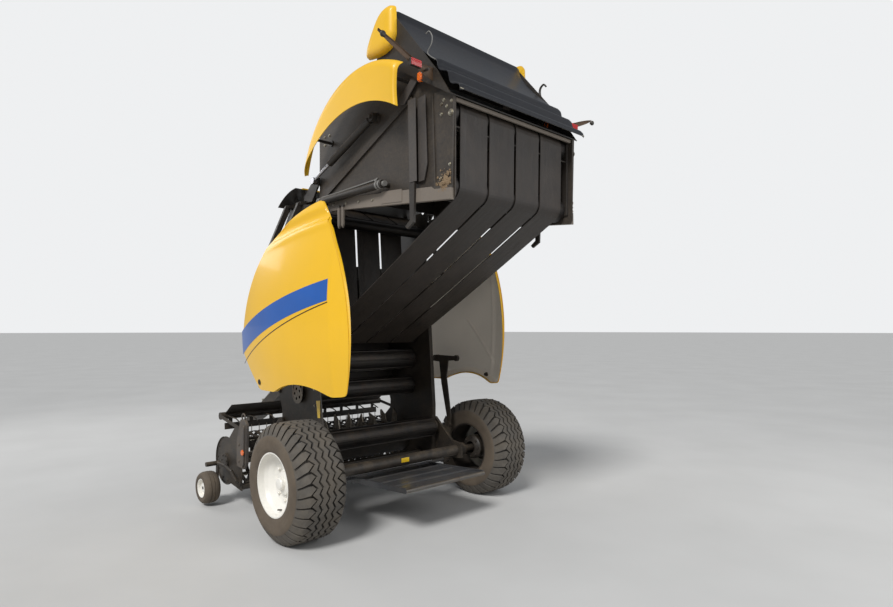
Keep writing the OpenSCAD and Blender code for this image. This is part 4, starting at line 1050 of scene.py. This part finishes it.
def build_gate_fittings():
    """Glands and pipes of the tension cylinders, side lamps, the wire loop of the cover, the steel
    edge of the roof with its stiffeners, and the hook that stands up at the net box."""
    out = GATE_OUT
    y = out + 0.066
    piece = Piece()
    for x in (0.176, 0.150, -0.640, -0.672):
        piece.lathe([(0.0, -0.009), (0.033, -0.009), (0.034, -0.006), (0.034, 0.006), (0.033, 0.009),
                     (0.0, 0.009)], (x, y, CYLINDER_Z), 0, 24)
    piece.lathe([(0.0, 0.0), (0.020, 0.0), (0.020, 0.026), (0.014, 0.032), (0.0, 0.032)],
                (-0.728, y, CYLINDER_Z), 0, 20)
    piece.pipe([(-0.610, y + 0.010, 2.776), (-0.610, y - 0.01, 2.800), (-0.500, out + 0.012, 2.812),
                (0.050, out + 0.012, 2.800), (0.240, out + 0.012, 2.800)], 40, 0.007)
    piece.mirrored().finish("cylinder_glands", "jack", "tailgate")
    piece = Piece().plate([(-1.078, 3.386), (-1.078, 3.452), (-1.124, 3.452), (-1.124, 3.386)], 0.022,
                          out + 0.030, out + 0.062, 1, 0.006, 7)
    piece.mirrored().finish("side_lamps", "amber", "tailgate")
    piece = Piece().pipe([(-1.243, 0.704, 3.498), (-1.175, 0.716, 3.560), (-1.215, 0.718, 3.610),
                          (-1.222, 0.718, 3.660), (-1.191, 0.718, 3.705), (-1.160, 0.718, 3.700)],
                         40, 0.0035, 7)
    piece.finish("cover_loop", "jack", "net_cover")
    piece = Piece().box((-1.392, -0.655, 3.190), (-1.372, 0.655, 3.215))
    piece.finish("gate_roof_edge", "beam", "tailgate")
    piece = Piece().tube([(-1.345, -0.655, 3.040), (-1.345, 0.655, 3.040)], 0.006, 8)
    for y in (-0.66, 0.66):
        piece.box((-1.36, y - 0.012, 2.60), (-1.30, y + 0.012, 3.19), 0.004)
    piece.finish("gate_cross_trim", "black", "tailgate")
    piece = Piece().pipe([(-1.060, -0.731, 3.545), (-1.050, -0.733, 3.640), (-1.020, -0.733, 3.700),
                          (-1.020, -0.733, 3.760), (-1.055, -0.733, 3.790), (-1.085, -0.733, 3.765)],
                         36, np.linspace(0.014, 0.007, 36), 10)
    piece.box((-1.10, -0.735, 3.50), (-1.03, -0.7225, 3.58))
    piece.finish("net_hook", "black", "tailgate")


def build_soil_crusts():
    """Dried soil on the lower rear corner of the tailgate's plates: small turned lumps, thrown with
    a fixed seed, and one crust whose edge is a circle with three sine waves on it."""
    out = GATE_OUT + 0.0255
    rng = np.random.default_rng(7)
    piece = Piece()
    for _ in range(210):
        x = np.clip(rng.normal(-1.325, 0.036), -1.383, -1.240)
        z = np.clip(rng.normal(2.635, 0.046) - 0.3 * (x + 1.325), 2.552, 2.760)
        r = 0.003 + 0.012 * rng.beta(1.2, 4.0)
        turn = rng.uniform(0.6, 1.0, 5)
        piece.lathe([(r * turn[0], 0.0), (r * turn[1], r * 0.30), (r * 0.62 * turn[2], r * 0.52),
                     (r * 0.25, r * 0.62 * turn[3]), (0.0, r * 0.62)], (x, out, z), sides=7)
    a = np.linspace(0, 2 * math.pi, 72, endpoint=False)
    ragged = 1 + 0.16 * np.sin(5 * a + 1) + 0.10 * np.sin(11 * a) + 0.07 * np.sin(23 * a + 2)
    share = np.linspace(0.02, 1, 16)[:, None]
    x = -1.325 + 0.050 * share * ragged * np.cos(a) - 0.012 * share * np.sin(a)
    y = out + 0.007 * (1 - share**3) * (1 + 0.4 * np.sin(9 * a + 14 * share))
    crust = surface(x, y, 2.632 + 0.062 * share * ragged * np.sin(a))
    piece.grid(np.concatenate([crust, crust[-1:] - [0, 0.004, 0]]), False, True, True)
    piece.mirrored().finish("soil_crusts", "soil", "tailgate", angle=60)


def build_shaft_guards():
    """Bellows of the drive shaft's guards: the radius follows a triangle wave of the way along. Two
    plain collars sit between them."""
    t = np.linspace(0, 1, 31)
    wave = np.abs(((t * 6) % 1.0) * 2 - 1)
    shaft_a, shaft_b = np.array([1.352, 0.0, 1.420]), np.array([1.500, 0.0, 1.388])
    end_a, end_b = np.array([2.560, 0.0, 1.0277]), np.array([2.672, 0.0, 0.9897])
    piece = Piece()
    piece.tube(shaft_a + (shaft_b - shaft_a) * t[:, None], 0.062 - 0.012 * t + 0.010 * wave, 28)
    piece.tube(end_a + (end_b - end_a) * t[:, None], 0.050 + 0.010 * t + 0.008 * wave, 28)
    way = unit(end_b - shaft_b)
    for k in (0.30, 0.55):
        at = shaft_b + way * k
        piece.tube([at - way * 0.010, at + way * 0.010], 0.052, 28)
    piece.finish("shaft_guards", "cover", "frame")


def build_frame_trim():
    """Pipes along the drawbar, bolts and ribs of the gearbox, the liner under the hood, blank labels
    and the scrapers of the chamber's mouth."""
    piece = Piece()
    for y in (-0.030, 0.030):
        piece.pipe([(1.30, y * 3.0, 1.292), (1.60, y * 2.0, 1.236), (1.93, y, 1.176), (2.35, y, 0.975),
                    (2.80, y, 0.684), (2.96, y, 0.596)], 70, 0.009)
    for x, z in ((1.60, 1.229), (1.88, 1.181), (2.20, 1.044), (2.62, 0.795)):
        piece.box((x - 0.014, -0.055, z - 0.004), (x + 0.014, 0.055, z + 0.022))
    piece.finish("drawbar_pipes", "zinc", "frame")
    places = [(1.264, y, z) for y in (-0.095, 0.095) for z in (1.315, 1.420, 1.525)]
    piece = Piece().bolts(places, 0, 0.011, 0.009, 1)
    piece.lathe([(0.072, 0.0), (0.072, 0.022), (0.062, 0.028), (0.0, 0.028)], (1.262, 0, 1.42), 0, 36)
    for y in (-0.06, 0.0, 0.06):
        piece.box((1.08, y - 0.005, 1.548), (1.25, y + 0.005, 1.560), 0.002)
    piece.finish("gearbox_trim", "jack", "frame")
    # Liner: a shallow arc of a round shell
    x, z = arc((0.500, 2.350), 0.572, 51.2, 86.5, 30).T[:, :, None]
    liner = surface(x, np.linspace(-0.768, 0.768, 24), z)
    Piece().shell(liner, -0.0025).finish("hood_liner", "black", "frame", slot="black_plastic")
    # Labels: on the beam of the ramp's pin, on the front shield and on the left arm of the axle
    piece = Piece().box((-0.0535, -0.055, 0.462), (-0.0505, 0.035, 0.502), 0.001)
    piece.box((1.0835, 0.36, 2.16), (1.0855, 0.50, 2.26), 0.001)
    piece.box((1.0835, -0.50, 2.16), (1.0855, -0.36, 2.26), 0.001)
    piece.finish("blank_labels", "sticker", "frame")
    strip = [(0.160, 0.915), (0.197, 0.912), (0.222, 1.056), (0.160, 1.062)]
    Piece().prism(strip, 0.7472, 0.7486, 1, 0.0002).finish("wall_labels", "sticker", "frame")
    piece = Piece()
    half = 0.628
    for x, z, tilt in ((0.742, 1.285, 0.5), (0.750, 1.010, 0.4), (0.402, 0.600, 0.3)):
        piece.plate([(x - 0.006, z - 0.03), (x + 0.03, z - 0.03 - tilt * 0.03), (x + 0.034, z - 0.02),
                     (x, z - 0.005)], 0.003, -half, half)
    for z in (1.78, 1.90, 2.02):
        piece.plate([(1.062, z - 0.012), (1.0745, z - 0.012), (1.0745, z + 0.012), (1.062, z + 0.012)],
                    0.004, -half, half)
    piece.finish("mouth_scrapers", "steel", "frame")


def build_pickup_trim():
    """Rolled rims and bolts of the pickup's side plates, a dark skirt on the wind guard that puts
    painted shade in the mouth, the uprights with their lifting eyes and round reflectors, and the
    coils of the tines, each a helix of two turns about its bar."""
    y = PICKUP_OUT
    piece = Piece().tube(on_circle(REEL_X, y + 0.004, REEL_Z, 0.226, np.radians(np.linspace(-118, 74, 60))),
                         0.006, 8)
    places = on_circle(REEL_X, y, REEL_Z, 0.195, np.radians(np.arange(-100, 70, 34)))
    places += on_circle(REEL_X, y + 0.022, REEL_Z, 0.052, np.radians(np.arange(0, 360, 60)))
    piece.bolts(places, size=0.008, height=0.006)
    piece.mirrored().finish("pickup_rims", "black", "pickup")
    # Painted shade: a dark skirt across the wind guard darkens the view into the mouth
    piece = Piece().plate([(1.632, 0.662), (1.646, 0.660), (1.650, 0.724), (1.638, 0.726)], 0.004,
                          -0.94, 0.94)
    for k in range(-4, 5):
        piece.prism([(1.637, 0.712), (1.643, 0.712), (1.643, 0.776), (1.637, 0.776)],
                    k * 0.22 - 0.02, k * 0.22 + 0.02)
    piece.finish("shade_skirt", "black", "wind_guard", slot="black_plastic")
    piece = Piece().plate([(1.130, 0.400), (0.985, 0.385), (0.935, 0.440), (0.925, 0.800), (0.960, 0.838),
                           (1.050, 0.838), (1.130, 0.640)], 0.012, y + 0.0005, y + 0.026)
    piece.plate([(0.985, 0.400), (0.955, 0.440), (0.945, 0.790), (0.985, 0.790)], 0.008,
                y + 0.024, y + 0.044)
    eye = ((1.035, 0.832), (1.040, 0.872), (1.010, 0.890), (0.982, 0.872), (0.985, 0.832))
    piece.pipe([(x, y + 0.013, z) for x, z in eye], 24, 0.007)
    places = ((1.080, 0.600), (1.080, 0.450), (1.020, 0.780))
    piece.bolts([(x, y + 0.026, z) for x, z in places], size=0.012)
    piece.mirrored().finish("pickup_uprights", "channel", "pickup")
    piece = Piece().lathe([(0.026, 0.0), (0.026, 0.006), (0.022, 0.009), (0.0, 0.009)],
                          (0.966, y + 0.044, 0.545), sides=28)
    piece.mirrored().finish("pickup_reflectors", "amber", "pickup")
    piece = Piece()
    turns = np.linspace(0, 2 * 2 * math.pi, 17)
    for angle in np.arange(4) * (math.pi / 2):
        cx, cz = REEL_X + 0.160 * math.cos(angle), REEL_Z - 0.160 * math.sin(angle)
        for i in range(-11, 11):
            for sign in (-1, 1):
                across = (i + 0.5) * 0.080 + sign * (0.006 + 0.0016 * turns)
                coil = surface(cx + 0.0185 * np.cos(turns), across, cz + 0.0185 * np.sin(turns))
                piece.tube(coil, 0.0035, 5)
    piece.finish("tine_coils", "zinc", "pickup_reel")


def build_ramp_trim():
    """Bright tube at the ramp's rear edge, cross folds in its sheet and their bolts."""
    low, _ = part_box("bale_ramp")
    x, z = low[0] - AXLE_X + 0.0175, 0.388
    Piece().tube([(x, -0.449, z), (x, 0.449, z)], 0.0176, 20).finish("ramp_tube", "steel", "bale_ramp")
    piece = Piece()
    for t in (0.25, 0.5, 0.75):
        x, z = 0.17 - 0.78 * t, 0.352 + 0.044 * t
        piece.plate([(x - 0.014, z - 0.001), (x + 0.014, z - 0.003), (x + 0.006, z + 0.005),
                     (x - 0.006, z + 0.006)], 0.003, -0.436, 0.436)
    for y in (-0.27, 0.27):
        piece.bolts([(0.05, y, 0.359), (-0.53, y, 0.392)], 2, 0.008, 0.006)
    piece.finish("ramp_folds", "ramp", "bale_ramp")


def build_fasteners():
    """Bolt heads on the frame and tailgate walls, bearing housings and beams."""
    out = WALL_OUT
    places = []
    for x, z in ((0.665, 2.780), (0.575, 1.590), (0.850, 0.600), (0.300, 0.675)):
        places += on_circle(x, out + 0.022, z, 0.040, (0.785, 2.356, 3.927, 5.498))
    places += [(1.030, out + 0.016, z) for z in np.arange(1.12, 2.28, 0.16)]
    places += line_points((0.320, out + 0.036, 0.45), (0.320, out + 0.036, 0.85), 4)
    places += line_points((0.338, out + 0.036, 1.00), (0.390, out + 0.036, 1.85), 7)
    Piece().bolts(places).mirrored().finish("frame_bolts", "zinc", "frame")
    out = GATE_OUT
    places = line_points((-0.20, out, 3.545), (-0.56, out, 3.645), 5)
    places += [(x, out + 0.020, z)
               for x, z in ((-1.311, 3.206), (-1.340, 3.158), (-1.385, 3.183), (-1.369, 2.764))]
    places += line_points((0.02, out + 0.031, 2.705), (-0.52, out + 0.031, 2.657), 4)
    places += on_circle(PIVOT[0], out + 0.012, PIVOT[1], 0.082, np.radians(np.arange(8) * 45.0))
    for x, y, z in ((0.170, out, 3.280), (-1.250, out + 0.020, 3.150), (-1.245, out + 0.020, 2.650)):
        ring = on_circle(x, y, z, 0.05, (0.8, 2.4, 3.9, 5.5))
        places += [place for place in ring if x > 0 or place[0] < -1.245]
    piece = Piece().bolts(places)
    piece.bolts([(-1.380, out + 0.020, 3.106)], size=0.019, height=0.012)
    piece.mirrored().finish("gate_bolts", "zinc", "tailgate")


def build_stage():
    """Pale floor, soft lamps, a pale world and the camera at the photograph's place."""
    s = bpy.context.scene.baler_sizes
    mesh = bpy.data.meshes.new("floor")
    r = FLOOR_HALF
    mesh.from_pydata([(-r, -r, 0), (r, -r, 0), (r, r, 0), (-r, r, 0)], [], [(0, 1, 2, 3)])
    floor = in_scene("floor", mesh)
    f = Finish("floor_pale")
    shown = f.mix(f.remap(f.noise(0.8, 3.0), 0.3, 0.7), (0.52, 0.515, 0.50), (0.56, 0.555, 0.54))
    f.done(shown, f.remap(f.noise(3.0, 2.0), 0.3, 0.7, 0.85, 0.95))
    mesh.materials.append(f.material)
    world = bpy.data.worlds.new("studio")
    bpy.context.scene.world = world
    world.use_nodes = True
    # World: one background lights the scene, a paler one is seen by the camera
    tree = world.node_tree
    back = tree.nodes["Background"]
    seen, path, pick, either = [tree.nodes.new("ShaderNode" + kind)
                                for kind in ("Background", "LightPath", "MixShader", "Math")]
    for node, colour, strength in ((back, (0.72, 0.76, 0.82, 1), 0.38), (seen, (0.86, 0.87, 0.88, 1), 1.0)):
        node.inputs["Color"].default_value = colour
        node.inputs["Strength"].default_value = strength
    either.operation = "MAXIMUM"
    for source, target in (
        (path.outputs["Is Camera Ray"], either.inputs[0]),
        (path.outputs["Is Transmission Ray"], either.inputs[1]),
        (either.outputs[0], pick.inputs[0]),
        (back.outputs[0], pick.inputs[1]),
        (seen.outputs[0], pick.inputs[2]),
        (pick.outputs[0], tree.nodes["World Output"].inputs["Surface"]),
    ):
        tree.links.new(source, target)
    # Lamps: name, place, aim, size, power
    for name, place, aim, size, power in (
        ("sun", (-3.0, 6.5, 8.5), (0.0, 0.3, 1.8), 0.30, 2.7),
        ("fill", (-8.0, -2.5, 4.0), (-0.8, 0.0, 1.8), 5.0, 170.0),
        ("front", (6.5, 3.0, 5.5), (0.5, 0.0, 1.5), 4.0, 120.0),
    ):
        lamp = bpy.data.lights.new(name, "SUN" if name == "sun" else "AREA")
        if name == "sun":
            lamp.angle = size
        else:
            lamp.size = size
        lamp.energy = power
        obj = in_scene(name, lamp)
        obj.location = place
        way = np.array(aim) - np.array(place)
        flat = math.hypot(way[0], way[1])
        obj.rotation_euler = (math.atan2(flat, -way[2]), 0, math.atan2(way[1], way[0]) - math.pi / 2)
    data = bpy.data.cameras.new("photo_camera")
    data.lens = s.lens
    data.sensor_width = SENSOR
    data.shift_y = s.camera_shift
    camera = in_scene("photo_camera", data)
    camera.location = s.camera_place
    camera.rotation_euler = (math.pi / 2, 0, math.radians(s.camera_turn))
    bpy.context.scene.camera = camera
    bpy.context.scene.view_settings.view_transform = "Standard"


# What all colour settings share
COLOUR = {"subtype": "COLOR", "size": 3, "min": 0, "max": 1}


class BalerColours(bpy.types.PropertyGroup):
    """Colours of the finishes, as they show on a display."""
    yellow: bpy.props.FloatVectorProperty(
        name="Panel yellow", description="Colour of the panels and shields",
        default=(0.96, 0.75, 0.10), **COLOUR)
    stripe: bpy.props.FloatVectorProperty(
        name="Stripe blue", description="Colour of the swept band",
        default=(0.13, 0.36, 0.68), **COLOUR)
    lining: bpy.props.FloatVectorProperty(
        name="Lining", description="Colour of the inside of the panels",
        default=(0.97, 0.93, 0.87), **COLOUR)
    black: bpy.props.FloatVectorProperty(
        name="Frame black", description="Colour of the frame's paint",
        default=(0.085, 0.083, 0.088), **COLOUR)
    gate: bpy.props.FloatVectorProperty(
        name="Tailgate wall", description="Colour of the tailgate's walls",
        default=(0.105, 0.102, 0.110), **COLOUR)
    beam: bpy.props.FloatVectorProperty(
        name="Mating beam", description="Colour of the beam along the tailgate's lower edge",
        default=(0.45, 0.42, 0.39), **COLOUR)
    belt: bpy.props.FloatVectorProperty(
        name="Belt rubber", description="Colour of the belts",
        default=(0.118, 0.100, 0.092), **COLOUR)
    tyre: bpy.props.FloatVectorProperty(
        name="Tyre rubber", description="Colour of the tyres",
        default=(0.175, 0.17, 0.165), **COLOUR)
    rim: bpy.props.FloatVectorProperty(
        name="Rim white", description="Colour of the wheel rims",
        default=(0.93, 0.92, 0.89), **COLOUR)
    dust: bpy.props.FloatVectorProperty(
        name="Dust", description="Colour of field dust",
        default=(0.62, 0.54, 0.43), **COLOUR)


class BalerSizes(bpy.types.PropertyGroup):
    """Sizes of the fine pieces and the place of the camera."""
    tread_pitches: bpy.props.IntProperty(
        name="Tread pitches", description="Blocks round each shoulder of a tyre",
        default=34, min=20, max=48)
    tread_depth: bpy.props.FloatProperty(
        name="Tread depth", description="Depth of the tyre's grooves", subtype="DISTANCE",
        unit="LENGTH", default=0.014, min=0.004, max=0.03)
    film_lift: bpy.props.FloatProperty(
        name="Film thickness", description="How far the stripes stand off the panel",
        subtype="DISTANCE", unit="LENGTH", default=0.0012, min=0.0005, max=0.004)
    camera_place: bpy.props.FloatVectorProperty(
        name="Camera place", description="Where the photograph was taken from",
        subtype="TRANSLATION", size=3, default=(-4.23 + AXLE_X, 3.43, 1.66))
    camera_turn: bpy.props.FloatProperty(
        name="Camera turn", description="Turn of the level camera in degrees",
        default=math.degrees(math.atan2(-LOOK[0], LOOK[1])), min=-180.0, max=180.0)
    camera_shift: bpy.props.FloatProperty(
        name="Camera shift", description="Upward shift of the frame, in frame widths",
        default=26.5 / 893, min=-0.5, max=0.5)
    lens: bpy.props.FloatProperty(
        name="Lens", description="Focal length on a 36 mm sensor", default=23.99, min=10.0, max=100.0)


class BALER_OT_stage(bpy.types.Operator):
    """Set the floor, lamps, world and camera"""
    bl_idname = "baler.stage"
    bl_label = "Stage"

    def execute(self, context):
        build_stage()
        return {"FINISHED"}


class BALER_OT_finishes(bpy.types.Operator):
    """Make the finishes and give them to the frame's nodes"""
    bl_idname = "baler.finishes"
    bl_label = "Finishes"

    def execute(self, context):
        build_materials()
        finish_nodes()
        return {"FINISHED"}


class BALER_OT_wheels(bpy.types.Operator):
    """Build the treaded tyres and the wheels' fittings"""
    bl_idname = "baler.wheels"
    bl_label = "Wheels"

    def execute(self, context):
        for side_name, side in SIDES:
            build_tyre(side_name, side, context.scene.baler_sizes)
            build_wheel_fittings(side_name, side)
            build_gauge_wheel(side_name, side)
        return {"FINISHED"}


class BALER_OT_panels(bpy.types.Operator):
    """Build the front side panels with their stripes"""
    bl_idname = "baler.panels"
    bl_label = "Side panels"

    def execute(self, context):
        build_side_panels()
        return {"FINISHED"}


class BALER_OT_tailgate(bpy.types.Operator):
    """Build the tailgate's shields, net cover, wings, end caps and trim"""
    bl_idname = "baler.tailgate"
    bl_label = "Tailgate shells"

    def execute(self, context):
        build_shields()
        build_net_cover()
        build_wings()
        build_net_caps()
        build_gate_beams()
        build_gate_fittings()
        build_soil_crusts()
        return {"FINISHED"}


class BALER_OT_trim(bpy.types.Operator):
    """Build the fine pieces of frame, pickup and ramp"""
    bl_idname = "baler.trim"
    bl_label = "Frame and pickup trim"

    def execute(self, context):
        build_shaft_guards()
        build_frame_trim()
        build_pickup_trim()
        build_ramp_trim()
        return {"FINISHED"}


class BALER_OT_belts(bpy.types.Operator):
    """Build the belt run between frame and tailgate"""
    bl_idname = "baler.belts"
    bl_label = "Belts"

    def execute(self, context):
        build_inner_belts()
        return {"FINISHED"}


class BALER_OT_fasteners(bpy.types.Operator):
    """Build the bolt heads"""
    bl_idname = "baler.fasteners"
    bl_label = "Fasteners"

    def execute(self, context):
        build_fasteners()
        return {"FINISHED"}


OPERATORS = (BALER_OT_stage, BALER_OT_finishes, BALER_OT_wheels, BALER_OT_panels, BALER_OT_tailgate,
             BALER_OT_trim, BALER_OT_belts, BALER_OT_fasteners)


class BALER_PT_panel(bpy.types.Panel):
    """Buttons and settings of the baler"""
    bl_label = "Round baler"
    bl_idname = "BALER_PT_panel"
    bl_space_type = "VIEW_3D"
    bl_region_type = "UI"
    bl_category = "Baler"

    def draw(self, context):
        for operator in OPERATORS:
            self.layout.operator(operator.bl_idname)
        for group in (context.scene.baler_sizes, context.scene.baler_colours):
            for name in group.__annotations__:
                self.layout.prop(group, name)


CLASSES = (BalerColours, BalerSizes, *OPERATORS, BALER_PT_panel)


def register():
    for cls in CLASSES:
        bpy.utils.register_class(cls)
    bpy.types.Scene.baler_colours = bpy.props.PointerProperty(type=BalerColours)
    bpy.types.Scene.baler_sizes = bpy.props.PointerProperty(type=BalerSizes)


def unregister():
    del bpy.types.Scene.baler_sizes
    del bpy.types.Scene.baler_colours
    for cls in reversed(CLASSES):
        bpy.utils.unregister_class(cls)


def main():
    """Builds every piece in order."""
    register()
    bpy.ops.baler.stage()
    bpy.ops.baler.finishes()
    bpy.ops.baler.wheels()
    bpy.ops.baler.panels()
    bpy.ops.baler.tailgate()
    bpy.ops.baler.trim()
    bpy.ops.baler.belts()
    bpy.ops.baler.fasteners()


if __name__ == "__main__":
    main()
